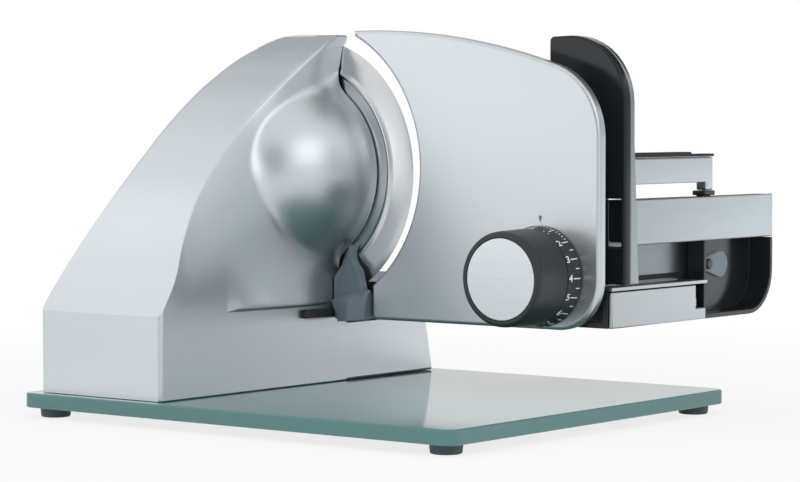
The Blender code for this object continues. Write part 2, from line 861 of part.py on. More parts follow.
def bottom_cover():
    left = HOUSING_LEFT + HOUSING_WALL + GAP
    right = HOUSING_RIGHT - HOUSING_WALL - 3 * GAP
    front = HOUSING_FRONT + HOUSING_WALL + 3 * GAP
    back = REAR_END - REAR_WALL - GAP
    holes = [circle(place, POST_RADIUS + GAP, 20) for place in post_places()]
    outline = rounded((left, front), (right, back), 0.0005, 1)
    return sheet("bottom_cover", "XY", GAP, GAP + COVER_THICKNESS, outline, holes)


def worm_x():
    """The motor's upright axis stands one centre distance to the left of the blade's axis."""
    return BLADE_X - GEAR_TEETH * GEAR_MODULE / 2 - WORM_PITCH_RADIUS


def motor_y():
    return (GEAR_FRONT + GEAR_BACK) / 2


def motor_axis():
    return (worm_x(), motor_y())


def motor_stator():
    half = STATOR_RADIUS * 0.93
    x, y = motor_axis()
    outline = rounded((x - half, y - half), (x + half, y + half), 0.006, 3)
    bore = circle((x, y), ROTOR_RADIUS + ROTOR_GAP, 32)
    return sheet("motor_stator", "XY", STATOR_BOTTOM, STATOR_TOP, outline, [bore])


def motor_lower_bracket():
    """Cup under the stator that stands on the bottom cover and holds the shaft's lower bush."""
    floor = GAP + COVER_THICKNESS + GAP
    top = STATOR_BOTTOM - GAP
    inner = STATOR_RADIUS * 0.8
    profile = [
        (MOTOR_SHAFT_RADIUS + ROD_GAP, top - BRACKET_THICKNESS),
        (inner, top - BRACKET_THICKNESS),
        (inner, floor),
        (STATOR_RADIUS * 0.9, floor),
        (STATOR_RADIUS * 0.9, top),
        (ROTOR_RADIUS, top),
        (ROTOR_RADIUS - 0.003, top - 0.005),
        (MOTOR_SHAFT_RADIUS + ROD_GAP, top - 0.005),
    ]
    return turned("motor_lower_bracket", "Z", motor_axis(), profile, 24)


def motor_upper_bracket():
    """Bridge over the stator with the shaft's upper bush."""
    x, y = motor_axis()
    base = STATOR_TOP + GAP
    half = STATOR_RADIUS * 0.9
    profile = [
        (MOTOR_SHAFT_RADIUS + ROD_GAP, base + BRACKET_THICKNESS),
        (0.008, base + BRACKET_THICKNESS),
        (0.009, base + 0.006),
        (half, base + 0.006),
        (half, base),
        (ROTOR_RADIUS, base),
        (ROTOR_RADIUS - 0.002, base + 0.0035),
        (MOTOR_SHAFT_RADIUS + ROD_GAP, base + 0.0035),
    ]
    return turned("motor_upper_bracket", "Z", (x, y), profile, 24)


def worm_bottom():
    return BLADE_Z - WORM_TURNS * worm_lead() / 2


def worm_top():
    return worm_bottom() + (WORM_TURNS + 1) * worm_lead()


def worm_lead():
    return math.pi * GEAR_MODULE


def motor_rotor():
    """Rotor stack on the motor shaft; the worm sits on the shaft's upper end."""
    low = STATOR_BOTTOM + 0.002
    high = STATOR_TOP - 0.002
    collar = worm_bottom() - GAP
    foot = STATOR_BOTTOM - GAP - BRACKET_THICKNESS
    profile = [
        (0.0, foot),
        (MOTOR_SHAFT_RADIUS, foot),
        (MOTOR_SHAFT_RADIUS, low),
        (ROTOR_RADIUS, low),
        (ROTOR_RADIUS, high),
        (MOTOR_SHAFT_RADIUS, high),
        (MOTOR_SHAFT_RADIUS, collar - 0.004),
        (MOTOR_SHAFT_RADIUS + 0.0015, collar - 0.004),
        (MOTOR_SHAFT_RADIUS + 0.0015, collar),
        (MOTOR_SHAFT_RADIUS, collar),
        (MOTOR_SHAFT_RADIUS, worm_top() + 0.002),
        (0.0, worm_top() + 0.002),
    ]
    return turned("motor_rotor", "Z", motor_axis(), profile, 24)


def motor_worm():
    """Single-start right-hand worm; its thread runs out over the first and the last turn."""
    lead = worm_lead()
    root = WORM_ROOT_WIDTH / 2
    tip = WORM_TIP_WIDTH / 2
    pitch_points = [(-root, 0.0), (-tip, 1.0), (tip, 1.0), (root, 0.0)]
    per_turn = len(pitch_points)
    form = bmesh.new()
    rows = []
    for turn in range(WORM_TURNS):
        for offset, height in pitch_points:
            row = []
            for i in range(WORM_SIDES):
                travel = turn + i / WORM_SIDES
                fade = min(1.0, travel / WORM_RUNOUT, (WORM_TURNS - travel) / WORM_RUNOUT - 1.0)
                radius = WORM_ROOT_RADIUS + (WORM_TIP_RADIUS - WORM_ROOT_RADIUS) * height * max(fade, 0.0)
                angle = 2 * math.pi * i / WORM_SIDES
                z = worm_bottom() + lead * (travel + 0.5) + offset
                row.append(form.verts.new((radius * math.cos(angle), radius * math.sin(angle), z)))
            rows.append(row)

    def vertex(row, i):
        return rows[row][i] if i < WORM_SIDES else rows[row + per_turn][i - WORM_SIDES]

    last = len(rows) - 1
    for row in range(last):
        for i in range(WORM_SIDES):
            if i + 1 == WORM_SIDES and row + 1 + per_turn > last:
                continue
            form.faces.new((vertex(row, i), vertex(row, i + 1), vertex(row + 1, i + 1), vertex(row + 1, i)))
    low = form.verts.new((0.0, 0.0, worm_bottom()))
    high = form.verts.new((0.0, 0.0, worm_top()))
    low_loop = [rows[0][i] for i in range(WORM_SIDES)] + [rows[k][0] for k in range(per_turn, 0, -1)]
    high_loop = [rows[last][i] for i in range(WORM_SIDES)]
    high_loop += [rows[k][WORM_SIDES - 1] for k in range(last - 1, last - per_turn - 1, -1)]
    for loop, tip_vertex in ((low_loop[::-1], low), (high_loop, high)):
        for a, b in zip(loop, loop[1:] + loop[:1]):
            form.faces.new((a, b, tip_vertex))
    bmesh.ops.recalc_face_normals(form, faces=form.faces)
    mesh = bpy.data.meshes.new("motor_worm")
    form.to_mesh(mesh)
    form.free()
    worm = new_object("motor_worm", mesh)
    worm.location = (*motor_axis(), 0.0)
    bore = rod(
        "worm_bore",
        "Z",
        motor_axis(),
        worm_bottom() - CUT_MARGIN,
        worm_top() + CUT_MARGIN,
        MOTOR_SHAFT_RADIUS + GAP,
        16,
    )
    return cut(worm, bore)


def run_capacitor():
    floor = GAP + COVER_THICKNESS + GAP
    start = CAPACITOR_START
    centre = (HOUSING_RIGHT - 0.035, floor + CAPACITOR_RADIUS)
    profile = [
        (0.0, start),
        (CAPACITOR_RADIUS, start),
        (CAPACITOR_RADIUS, start + CAPACITOR_LENGTH),
        (0.006, start + CAPACITOR_LENGTH + 0.001),
        (0.006, start + CAPACITOR_LENGTH + 0.004),
        (0.0, start + CAPACITOR_LENGTH + 0.004),
    ]
    return turned("run_capacitor", "Y", centre, profile, 24)


def drive_gear():
    """Helical worm wheel; each tooth leans with the worm's lead angle."""
    pitch = GEAR_TEETH * GEAR_MODULE / 2
    root = pitch - GEAR_DEDENDUM
    tip = pitch + GEAR_ADDENDUM
    slope = worm_lead() / (2 * math.pi * WORM_PITCH_RADIUS)
    form = bmesh.new()
    rings = []
    for y in (GEAR_FRONT, GEAR_BACK):
        twist = -slope * (y - motor_y()) / pitch
        ring = []
        for tooth in range(GEAR_TEETH):
            middle = 2 * math.pi * tooth / GEAR_TEETH + twist
            for radius, width in ((root, -GEAR_ROOT_WIDTH), (tip, -GEAR_TIP_WIDTH),
                                  (tip, GEAR_TIP_WIDTH), (root, GEAR_ROOT_WIDTH)):
                angle = middle + width / 2 / radius
                ring.append(form.verts.new((radius * math.cos(angle), y, radius * math.sin(angle))))
        rings.append(ring)
    count = len(rings[0])
    for i in range(count):
        j = (i + 1) % count
        form.faces.new((rings[0][i], rings[0][j], rings[1][j], rings[1][i]))
    form.faces.new(rings[0][::-1])
    form.faces.new(rings[1])
    bmesh.ops.recalc_face_normals(form, faces=form.faces)
    mesh = bpy.data.meshes.new("drive_gear")
    form.to_mesh(mesh)
    form.free()
    gear = new_object("drive_gear", mesh)
    gear.location = (BLADE_X, 0.0, BLADE_Z)
    centre = (BLADE_X, BLADE_Z)
    bore_radius = SHAFT_RADIUS + GAP
    bore = rod("gear_bore", "Y", centre, GEAR_FRONT - CUT_MARGIN, GEAR_BACK + CUT_MARGIN, bore_radius, 24)
    web = GEAR_FRONT + 0.003
    relief = turned(
        "gear_relief",
        "Y",
        centre,
        [
            (GEAR_HUB_RADIUS, GEAR_FRONT - CUT_MARGIN),
            (root - 0.004, GEAR_FRONT - CUT_MARGIN),
            (root - 0.004, web),
            (GEAR_HUB_RADIUS, web),
        ],
        32,
    )
    return cut(gear, bore, relief)


def blade_shaft():
    top = BLADE_BACK - GAP
    profile = [
        (0.0, SHAFT_FRONT + CUT_MARGIN),
        (SHAFT_RADIUS, SHAFT_FRONT + CUT_MARGIN),
        (SHAFT_RADIUS, HUB_RECESS + 0.0004),
        (FLANGE_RADIUS, HUB_RECESS + 0.0004),
        (FLANGE_RADIUS, top),
        (LOCK_STEM_RADIUS + GAP, top),
        (LOCK_STEM_RADIUS + GAP, top - LOCK_STEM_LENGTH),
        (0.0, top - LOCK_STEM_LENGTH),
    ]
    shaft = turned("blade_shaft", "Y", (BLADE_X, BLADE_Z), profile, 32)
    holes = [
        rod("pin_hole", "Y", place, top - PIN_LENGTH / 2, top + CUT_MARGIN, PIN_RADIUS + GAP, 12)
        for place in pin_places()
    ]
    return cut(shaft, *holes)


def pin_places():
    places = []
    for i in range(3):
        angle = math.radians(80 + 120 * i)
        places.append((BLADE_X + PIN_CIRCLE * math.cos(angle), BLADE_Z + PIN_CIRCLE * math.sin(angle)))
    return places


def drive_pins():
    start = BLADE_BACK - GAP - PIN_LENGTH / 2 + GAP
    end = BLADE_FACE - BLADE_DISH - GAP
    return [
        rod(f"drive_pin_{number}", "Y", place, start, end, PIN_RADIUS, 12)
        for number, place in enumerate(pin_places(), 1)
    ]


def shaft_bearings():
    rings = []
    back = HUB_RECESS - GAP
    for name, end in (("back_bearing", back), ("front_bearing", back - BEARING_LENGTH - 0.009)):
        profile = [
            (SHAFT_RADIUS + ROD_GAP, end - BEARING_LENGTH),
            (BEARING_RADIUS, end - BEARING_LENGTH),
            (BEARING_RADIUS, end),
            (SHAFT_RADIUS + ROD_GAP, end),
        ]
        rings.append(turned(name, "Y", (BLADE_X, BLADE_Z), profile, 32))
    return rings


def blade():
    """The round blade: dished on the food side, ground on the slice side."""
    face = BLADE_FACE
    dish = face - BLADE_DISH
    hole = LOCK_STEM_RADIUS + GAP
    profile = [
        (hole, dish),
        (BLADE_RIDGE_RADIUS - 0.0065, dish),
        (BLADE_RIDGE_RADIUS + 0.0015, face),
        (BLADE_RADIUS, face),
        (BLADE_RADIUS, face - BLADE_EDGE),
        (BLADE_BEVEL_RADIUS, BLADE_BACK + BLADE_BEVEL),
        (BLADE_RIDGE_RADIUS + 0.003, BLADE_BACK),
        (BLADE_RIDGE_RADIUS, BLADE_BACK - BLADE_RIDGE),
        (BLADE_RIDGE_RADIUS - 0.003, BLADE_BACK),
        (hole, BLADE_BACK),
    ]
    disc = turned("blade", "Y", (BLADE_X, BLADE_Z), profile, 64)
    holes = [
        rod("blade_pin_hole", "Y", place, BLADE_BACK - CUT_MARGIN, face, PIN_RADIUS + GAP, 12)
        for place in pin_places()
    ]
    return cut(disc, *holes)


def blade_lock():
    """Lock screwed into the shaft from the food side, turned with a coin."""
    seat = BLADE_FACE - BLADE_DISH + GAP
    top = seat + LOCK_THICKNESS
    profile = [
        (0.0, top),
        (LOCK_RADIUS - 0.001, top),
        (LOCK_RADIUS, top - 0.001),
        (LOCK_RADIUS, seat),
        (LOCK_STEM_RADIUS, seat),
        (LOCK_STEM_RADIUS, BLADE_BACK - LOCK_STEM_LENGTH + GAP),
        (0.0, BLADE_BACK - LOCK_STEM_LENGTH + GAP),
    ]
    lock = turned("blade_lock", "Y", (BLADE_X, BLADE_Z), profile, 28)
    half = LOCK_RADIUS * 0.6
    slot = box(
        "coin_slot",
        (BLADE_X - half, top - LOCK_THICKNESS / 2, BLADE_Z - COIN_SLOT / 2),
        (BLADE_X + half, top + CUT_MARGIN, BLADE_Z + COIN_SLOT / 2),
    )
    return cut(lock, slot)


def lower_blade_guard():
    """Black guard round the blade's lower edge, with a tongue along the housing under the skirt."""
    left = HOUSING_RIGHT + GAP
    plan = [
        (left, GUARD_PLATE_FRONT - 0.003),
        (left + GUARD_WIDTH * GUARD_NECK, GUARD_FRONT),
        (GUARD_REACH - 0.0015, GUARD_FRONT),
        (GUARD_REACH, GUARD_PLATE_BACK),
        (GUARD_REACH, RING_BACK),
        (left, RING_BACK),
    ]
    block = sheet("lower_blade_guard", "XY", GUARD_BOTTOM, GUARD_BLOCK_TOP, plan, (), 0.001, 1)
    leaf = [(left + GAP / 2 + (GUARD_REACH - left) * share, height) for share, height in GUARD_LEAF]
    plate = sheet("guard_leaf", "XZ", GUARD_PLATE_FRONT, GUARD_PLATE_BACK, leaf, (), 0.0012, 1)
    under_skirt = WALL_HEIGHT - SKIRT_LIP - GAP
    tongue = box(
        "guard_tongue",
        (left, GUARD_TONGUE_FRONT, GUARD_TONGUE_BOTTOM),
        (left + GUARD_TONGUE_WIDTH, GUARD_PLATE_FRONT, under_skirt),
    )
    return join(block, plate, tongue)


def plate_outline():
    """The stop plate's outline: bowed top, round right corners, throat round the blade."""
    crown = (PLATE_CROWN_X, PLATE_TOP - PLATE_CROWN_RADIUS)
    corner_x = PLATE_RIGHT - PLATE_TOP_CORNER
    lever = PLATE_CROWN_RADIUS - PLATE_TOP_CORNER
    corner_z = crown[1] + math.sqrt(lever**2 - (corner_x - crown[0]) ** 2)
    meet = math.degrees(math.atan2(corner_z - crown[1], corner_x - crown[0]))
    top_left = math.degrees(math.acos((PLATE_THROAT_TOP_X - crown[0]) / PLATE_CROWN_RADIUS))
    low = (PLATE_RIGHT - PLATE_LOW_CORNER, PLATE_BOTTOM + PLATE_LOW_CORNER)
    left = GUARD_REACH + PLATE_LEFT_GAP
    heel = (left + PLATE_HEEL_RADIUS, PLATE_BOTTOM + PLATE_HEEL_RADIUS)
    throat = (BLADE_X + PLATE_THROAT_SHIFT[0], BLADE_Z + PLATE_THROAT_SHIFT[1])
    throat_radius = BLADE_RADIUS + PLATE_THROAT_GAP
    first = -math.degrees(math.acos((left - throat[0]) / throat_radius))
    final = math.degrees(math.acos((PLATE_THROAT_TOP_X - throat[0]) / throat_radius))
    return (
        arc(heel, PLATE_HEEL_RADIUS, 180, 270, 3)
        + arc(low, PLATE_LOW_CORNER, -90, 0, 7)
        + arc((corner_x, corner_z), PLATE_TOP_CORNER, 0, meet, 7)
        + arc(crown, PLATE_CROWN_RADIUS, meet, top_left, 7)[1:]
        + arc(throat, throat_radius, final, first, 16)
    )


def stop_plate():
    holes = [
        circle((DIAL_X, ADJUST_ROD_Z), ADJUST_ROD_RADIUS + 2 * GAP, 16),
        circle((DIAL_X, DIAL_Z), SCREW_RADIUS + GAP, 16),
    ]
    plate = sheet("stop_plate", "XZ", PLATE_FRONT, BLADE_FACE, plate_outline(), holes, PLATE_EDGE * 0.5, 1)
    seat = BLADE_FACE - GUIDE_ROD_SEAT - GAP
    radius = GUIDE_ROD_RADIUS + ROD_GAP
    bores = [
        rod("rod_seat", "Y", (x, GUIDE_ROD_Z), seat, BLADE_FACE + CUT_MARGIN, radius, 16)
        for x in GUIDE_ROD_X
    ]
    return cut(plate, *bores)


def guide_rods():
    start = BLADE_FACE - GUIDE_ROD_SEAT
    end = start + GUIDE_ROD_LENGTH
    return [
        rod(f"guide_rod_{number}", "Y", (x, GUIDE_ROD_Z), start, end, GUIDE_ROD_RADIUS, 16)
        for number, x in enumerate(GUIDE_ROD_X, 1)
    ]


def sleeve_front():
    return DIAL_FRONT + DIAL_FACE_WALL + GAP


def dial_axle():
    """Axle of the dial, screwed to the stop plate's front."""
    back = PLATE_FRONT - GAP
    profile = [
        (0.0, sleeve_front() + 0.003),
        (AXLE_RADIUS - 0.001, sleeve_front() + 0.003),
        (AXLE_RADIUS, sleeve_front() + 0.004),
        (AXLE_RADIUS, back),
        (SCREW_RADIUS + ROD_GAP, back),
        (SCREW_RADIUS + ROD_GAP, back - 0.012),
        (0.0, back - 0.012),
    ]
    return turned("dial_axle", "Y", (DIAL_X, DIAL_Z), profile, 32)


def axle_screw():
    head_seat = BLADE_FACE + GAP
    profile = [
        (0.0, head_seat + 0.0015),
        (SCREW_HEAD_RADIUS * 0.7, head_seat + 0.0015),
        (SCREW_HEAD_RADIUS, head_seat + 0.0008),
        (SCREW_HEAD_RADIUS, head_seat),
        (SCREW_RADIUS, head_seat),
        (SCREW_RADIUS, PLATE_FRONT - 0.011),
        (0.0, PLATE_FRONT - 0.011),
    ]
    return turned("axle_screw", "Y", (DIAL_X, DIAL_Z), profile, 16)


def dial_knob():
    """Hollow dial: scale ring at the back, a fine groove, and a barrel that narrows to the front."""
    back = PLATE_FRONT - GAP
    base = back - DIAL_BASE_LENGTH
    neck = base - DIAL_NECK_LENGTH
    inner = DIAL_NECK_RADIUS - DIAL_WALL
    pocket = DIAL_FRONT + DISC_THICKNESS + GAP
    profile = [
        (DIAL_BASE_RADIUS, back),
        (DIAL_BASE_RADIUS, base + 0.0008),
        (DIAL_BASE_RADIUS - 0.0008, base),
        (DIAL_NECK_RADIUS, base),
        (DIAL_NECK_RADIUS, neck),
        (DIAL_BARREL_RADIUS - 0.0004, neck),
        (DIAL_BARREL_RADIUS, neck - 0.0008),
        (DIAL_TIP_RADIUS + 0.0002, DIAL_FRONT + DIAL_ROUNDING),
        (DIAL_TIP_RADIUS - DIAL_ROUNDING * 0.3, DIAL_FRONT + DIAL_ROUNDING * 0.3),
        (DIAL_TIP_RADIUS - DIAL_ROUNDING, DIAL_FRONT),
        (DISC_RADIUS + GAP, DIAL_FRONT),
        (DISC_RADIUS + GAP, pocket),
        (0.0, pocket),
        (0.0, DIAL_FRONT + DIAL_FACE_WALL),
        (inner, DIAL_FRONT + DIAL_FACE_WALL),
        (inner, back),
    ]
    return turned("dial_knob", "Y", (DIAL_X, DIAL_Z), closed_on_axis(profile), ROUND_SIDES)


def closed_on_axis(profile):
    """Start a profile at its first axis point, so that it ends at the other one."""
    start = next(i for i, point in enumerate(profile) if point[0] == 0.0)
    turned_round = profile[start + 1 :] + profile[: start + 1]
    return turned_round


def dial_disc():
    profile = [
        (0.0, DIAL_FRONT + DISC_THICKNESS),
        (DISC_RADIUS, DIAL_FRONT + DISC_THICKNESS),
        (DISC_RADIUS, DIAL_FRONT + 0.0004),
        (DISC_RADIUS - 0.0006, DIAL_FRONT),
        (0.0, DIAL_FRONT),
    ]
    return turned("dial_disc", "Y", (DIAL_X, DIAL_Z), profile, ROUND_SIDES)


def thread_point(radius, angle, offset):
    """A point on the dial's coarse thread; the finger stands at -90 degrees at rest."""
    y = FINGER_Y - (angle + 90.0) * THREAD_LEAD / 360.0 + offset
    turn = math.radians(angle)
    return (DIAL_X + radius * math.cos(turn), y, DIAL_Z + radius * math.sin(turn))


def dial_thread_sleeve():
    """Sleeve in the dial with a helical groove; the fixed finger in it moves the stop plate."""
    front = sleeve_front()
    back = PLATE_FRONT - 0.003
    profile = [
        (AXLE_RADIUS + GAP, front),
        (SLEEVE_RADIUS, front),
        (SLEEVE_RADIUS, back),
        (AXLE_RADIUS + GAP, back),
    ]
    sleeve = turned("dial_thread_sleeve", "Y", (DIAL_X, DIAL_Z), profile, 36)
    play = math.degrees(FINGER_RADIUS / (SLEEVE_RADIUS - THREAD_DEPTH)) + 4.0
    first = -90.0 + play
    last = -90.0 - DIAL_RANGE - play
    steps = int((first - last) / THREAD_STEP) + 1
    half = THREAD_WIDTH / 2
    inner = SLEEVE_RADIUS - THREAD_DEPTH
    outer = SLEEVE_RADIUS + CUT_MARGIN
    form = bmesh.new()
    rings = []
    for i in range(steps + 1):
        angle = first + (last - first) * i / steps
        corners = ((inner, -half), (outer, -half), (outer, half), (inner, half))
        rings.append([form.verts.new(thread_point(radius, angle, offset)) for radius, offset in corners])
    for one, two in zip(rings, rings[1:]):
        for i in range(4):
            j = (i + 1) % 4
            form.faces.new((one[i], one[j], two[j], two[i]))
    form.faces.new(rings[0])
    form.faces.new(rings[-1][::-1])
    bmesh.ops.recalc_face_normals(form, faces=form.faces)
    mesh = bpy.data.meshes.new("thread_groove")
    form.to_mesh(mesh)
    form.free()
    return cut(sleeve, new_object("thread_groove", mesh))


def adjust_rod():
    """Rod fixed in the beam that reaches under the dial's sleeve, with a finger up into its groove."""
    start = FINGER_Y - FINGER_RADIUS - CUT_MARGIN
    seat = BEAM_FRONT + BEAM_WALL
    shank = rod("adjust_rod", "Y", (DIAL_X, ADJUST_ROD_Z), start, seat, ADJUST_ROD_RADIUS, 16)
    tip = DIAL_Z - SLEEVE_RADIUS + THREAD_DEPTH - RUNNING_GAP
    finger = rod("finger", "Z", (DIAL_X, FINGER_Y), ADJUST_ROD_Z - 0.001, tip, ADJUST_ROD_RADIUS * 0.9, 12)
    return join(shank, finger)


def beam_outline():
    return [
        (BEAM_FRONT, BEAM_BOTTOM),
        (BEAM_BACK, BEAM_BOTTOM),
        (BEAM_BACK, BEAM_SHELF_TOP),
        (BEAM_SHELF_FRONT, BEAM_SHELF_TOP),
        (BEAM_SHELF_FRONT, BEAM_TOP),
        (BEAM_FRONT, BEAM_TOP),
    ]


def guide_beam():
    """Fixed beam behind the blade: hollow from below, with a shelf for the carriage's runner."""
    beam = sheet("guide_beam", "YZ", BEAM_LEFT, BEAM_RIGHT, beam_outline())
    wall = BEAM_WALL
    inside_back = BEAM_SHELF_FRONT - wall
    rooms = [
        box(
            "beam_room",
            (BEAM_LEFT + wall, BEAM_FRONT + wall, BEAM_BOTTOM - CUT_MARGIN),
            (BEAM_RIGHT - wall, BEAM_RIB_Y - wall, BEAM_TOP - wall),
        ),
        box(
            "beam_rear_room",
            (BEAM_LEFT + wall, BEAM_RIB_Y, BEAM_BOTTOM - CUT_MARGIN),
            (BEAM_RIGHT - wall, inside_back, BEAM_TOP - wall),
        ),
    ]
    cut(beam, *rooms)
    x0, x1, y0, y1 = BEAM_FOOT
    foot = box("beam_foot", (x0, y0, REAR_HEIGHT + GAP), (x1, y1, BEAM_BOTTOM + wall))
    join(beam, foot)
    back = BEAM_RIB_Y + CUT_MARGIN
    holes = [
        rod("rod_hole", "Y", (x, GUIDE_ROD_Z), BEAM_FRONT - CUT_MARGIN, back, GUIDE_ROD_RADIUS + ROD_GAP, 16)
        for x in GUIDE_ROD_X
    ]
    holes.append(
        rod(
            "adjust_hole",
            "Y",
            (DIAL_X, ADJUST_ROD_Z),
            BEAM_FRONT - CUT_MARGIN,
            BEAM_FRONT + wall + CUT_MARGIN,
            ADJUST_ROD_RADIUS + ROD_GAP,
            16,
        )
    )
    wx0, wx1, wz0, wz1 = BEAM_WINDOW
    holes.append(
        box("beam_window", (wx0, BEAM_FRONT - CUT_MARGIN, wz0), (wx1, BEAM_FRONT + wall + CUT_MARGIN, wz1))
    )
    return cut(beam, *holes)


def beam_end_cap():
    start = BEAM_RIGHT + GAP
    return sheet("beam_end_cap", "YZ", start, start + BEAM_CAP, beam_outline(), (), 0.0006, 1)


def channel_stop_screw():
    seat = BEAM_SHELF_TOP + GAP
    profile = [
        (0.0, seat + STOP_SCREW_HEIGHT),
        (STOP_SCREW_RADIUS - 0.0005, seat + STOP_SCREW_HEIGHT),
        (STOP_SCREW_RADIUS, seat + STOP_SCREW_HEIGHT - 0.0005),
        (STOP_SCREW_RADIUS, seat),
        (0.0, seat),
    ]
    return turned("channel_stop_screw", "Z", (STOP_SCREW_X, STOP_SCREW_Y), profile, 16)


def tray_bottom():
    return BEAM_TOP + RUNNING_GAP


def tray_top():
    return tray_bottom() + TRAY_THICKNESS


def food_tray():
    """Thin tray with fine grooves along the carriage's travel."""
    tray = box(
        "food_tray",
        (TRAY_LEFT, BEAM_FRONT, tray_bottom()),
        (TRAY_RIGHT, TRAY_BACK, tray_top()),
    )
    pitch = (TRAY_BACK - BEAM_FRONT) / (TRAY_GROOVES + 1)
    grooves = []
    for i in range(TRAY_GROOVES):
        y = BEAM_FRONT + pitch * (i + 1)
        low = (TRAY_LEFT - CUT_MARGIN, y - pitch / 6, tray_top() - TRAY_GROOVE)
        grooves.append(box("tray_groove", low, (WALL_X - 0.002, y + pitch / 6, tray_top() + CUT_MARGIN)))
    screws = [
        rod(
            "tray_screw_hole",
            "Z",
            (x, (RUNNER_FRONT + RUNNER_BACK) / 2),
            tray_bottom() - CUT_MARGIN,
            tray_top() + CUT_MARGIN,
            SCREW_RADIUS + GAP,
            12,
        )
        for x in RUNNER_SCREW_X
    ]
    return cut(tray, *grooves, *screws)


def carriage_wall():
    base = tray_top() + GAP
    right = WALL_X + WALL_THICKNESS
    wall = box("carriage_wall", (WALL_X, WALL_FRONT, base), (right, TRAY_BACK, RAIL_TOP))
    y0, y1, low, high = WALL_SLOT
    slot = box(
        "wall_slot",
        (WALL_X - CUT_MARGIN, y0, base + low),
        (WALL_X + WALL_SLOT_DEPTH, y1, base + high),
    )
    return cut(wall, slot)


def rail_left():
    return WALL_X + WALL_THICKNESS + GAP


def rail_right():
    return rail_left() + RAIL_WIDTH


def rail_beam():
    """Black rail on the wall's outer side, with a groove in its top for the pusher's slider."""
    left = rail_left()
    right = rail_right()
    rail = box("rail_beam", (left, WALL_FRONT, RAIL_BOTTOM), (right, RAIL_BACK, RAIL_TOP), 0.0006, 1)
    head = box(
        "rail_head",
        (left + CUT_MARGIN, WALL_FRONT, RAIL_BOTTOM + 0.0008),
        (right + GAP + BAND_THICKNESS, WALL_FRONT + RAIL_HEAD_LENGTH, RAIL_TOP - 0.0008),
    )
    join(rail, head)
    middle = (left + right) / 2
    half = RAIL_GROOVE_WIDTH / 2
    groove = box(
        "rail_groove",
        (middle - half, WALL_FRONT + 2 * RAIL_HEAD_LENGTH, RAIL_TOP - RAIL_GROOVE_DEPTH),
        (middle + half, RAIL_BACK - 0.004, RAIL_TOP + CUT_MARGIN),
    )
    return cut(rail, groove)


def rail_band():
    start = rail_right() + GAP
    front = WALL_FRONT + RAIL_HEAD_LENGTH + GAP
    low = (start, front, BAND_BOTTOM)
    return box("rail_band", low, (start + BAND_THICKNESS, RAIL_BACK, BAND_TOP), 0.0005, 1)


def shell_outline(inset, top):
    """The hand guard's J-shaped side: straight back, round lower corner, flat bottom."""
    radius = SHELL_RADIUS - inset
    corner = (RAIL_BACK - SHELL_RADIUS, SHELL_BOTTOM + SHELL_RADIUS)
    front = TRAY_BACK + GAP + RUNNING_GAP + inset
    return (
        [(front, top), (front, SHELL_BOTTOM + inset)]
        + arc(corner, radius, -90, 0, 8)
        + [(RAIL_BACK - inset, top)]
    )


def carriage_end_shell():
    """Hand guard at the carriage's far end, open towards the operator, with a broad rim at the back."""
    right = rail_right() + GAP + BAND_THICKNESS
    shell = sheet("carriage_end_shell", "YZ", SHELL_LEFT, right, shell_outline(0.0, SHELL_TOP))
    pocket = sheet(
        "shell_pocket",
        "YZ",
        SHELL_LEFT + SHELL_WEB,
        right + CUT_MARGIN,
        shell_outline(SHELL_WALL, SHELL_TOP + CUT_MARGIN),
    )
    cut(shell, pocket)
    boss = rod(
        "pivot_boss",
        "X",
        (LEVER_Y, LEVER_Z),
        SHELL_LEFT + CUT_MARGIN,
        lever_left() - GAP,
        LEVER_BOSS,
    )
    tie = box(
        "wall_tie",
        (WALL_X, TRAY_BACK + GAP + RUNNING_GAP, SHELL_TOP - 0.012),
        (rail_right(), TRAY_BACK + 0.006, RAIL_BOTTOM - GAP),
    )
    join(shell, boss, tie)
    hole = rod(
        "pivot_hole",
        "X",
        (LEVER_Y, LEVER_Z),
        SHELL_LEFT + 2 * CUT_MARGIN,
        lever_left(),
        LEVER_PIN_RADIUS + ROD_GAP,
        12,
    )
    return cut(shell, hole)


def lever_left():
    return SHELL_LEFT + SHELL_WEB + LEVER_ROOM


def carriage_lever():
    """Small catch lever: a round boss at the pivot and a round lobe behind it."""
    left = lever_left()
    reach = math.hypot(LEVER_LOBE_Y - LEVER_Y, LEVER_LOBE_Z - LEVER_Z)
    tilt = math.degrees(math.atan2(LEVER_LOBE_Z - LEVER_Z, LEVER_LOBE_Y - LEVER_Y))
    tangent = math.degrees(math.acos((LEVER_BOSS - LEVER_LOBE) / reach))
    pivot = (LEVER_Y, LEVER_Z)
    lobe = (LEVER_LOBE_Y, LEVER_LOBE_Z)
    outline = arc(pivot, LEVER_BOSS, tilt + tangent, tilt + 360 - tangent, 10)
    outline += arc(lobe, LEVER_LOBE, tilt - tangent, tilt + tangent, 12)
    hole = circle(pivot, LEVER_PIN_RADIUS + ROD_GAP, 12)
    return sheet("carriage_lever", "YZ", left, left + LEVER_THICKNESS, outline, [hole], 0.0005, 1)


def lever_pin():
    left = SHELL_LEFT + 2 * CUT_MARGIN + GAP
    seat = lever_left() + LEVER_THICKNESS + GAP
    profile = [
        (0.0, seat + 0.0015),
        (0.0028, seat + 0.0015),
        (0.0034, seat + 0.0008),
        (0.0034, seat),
        (LEVER_PIN_RADIUS, seat),
        (LEVER_PIN_RADIUS, left),
        (0.0, left),
    ]
    return turned("lever_pin", "X", (LEVER_Y, LEVER_Z), profile, 16)


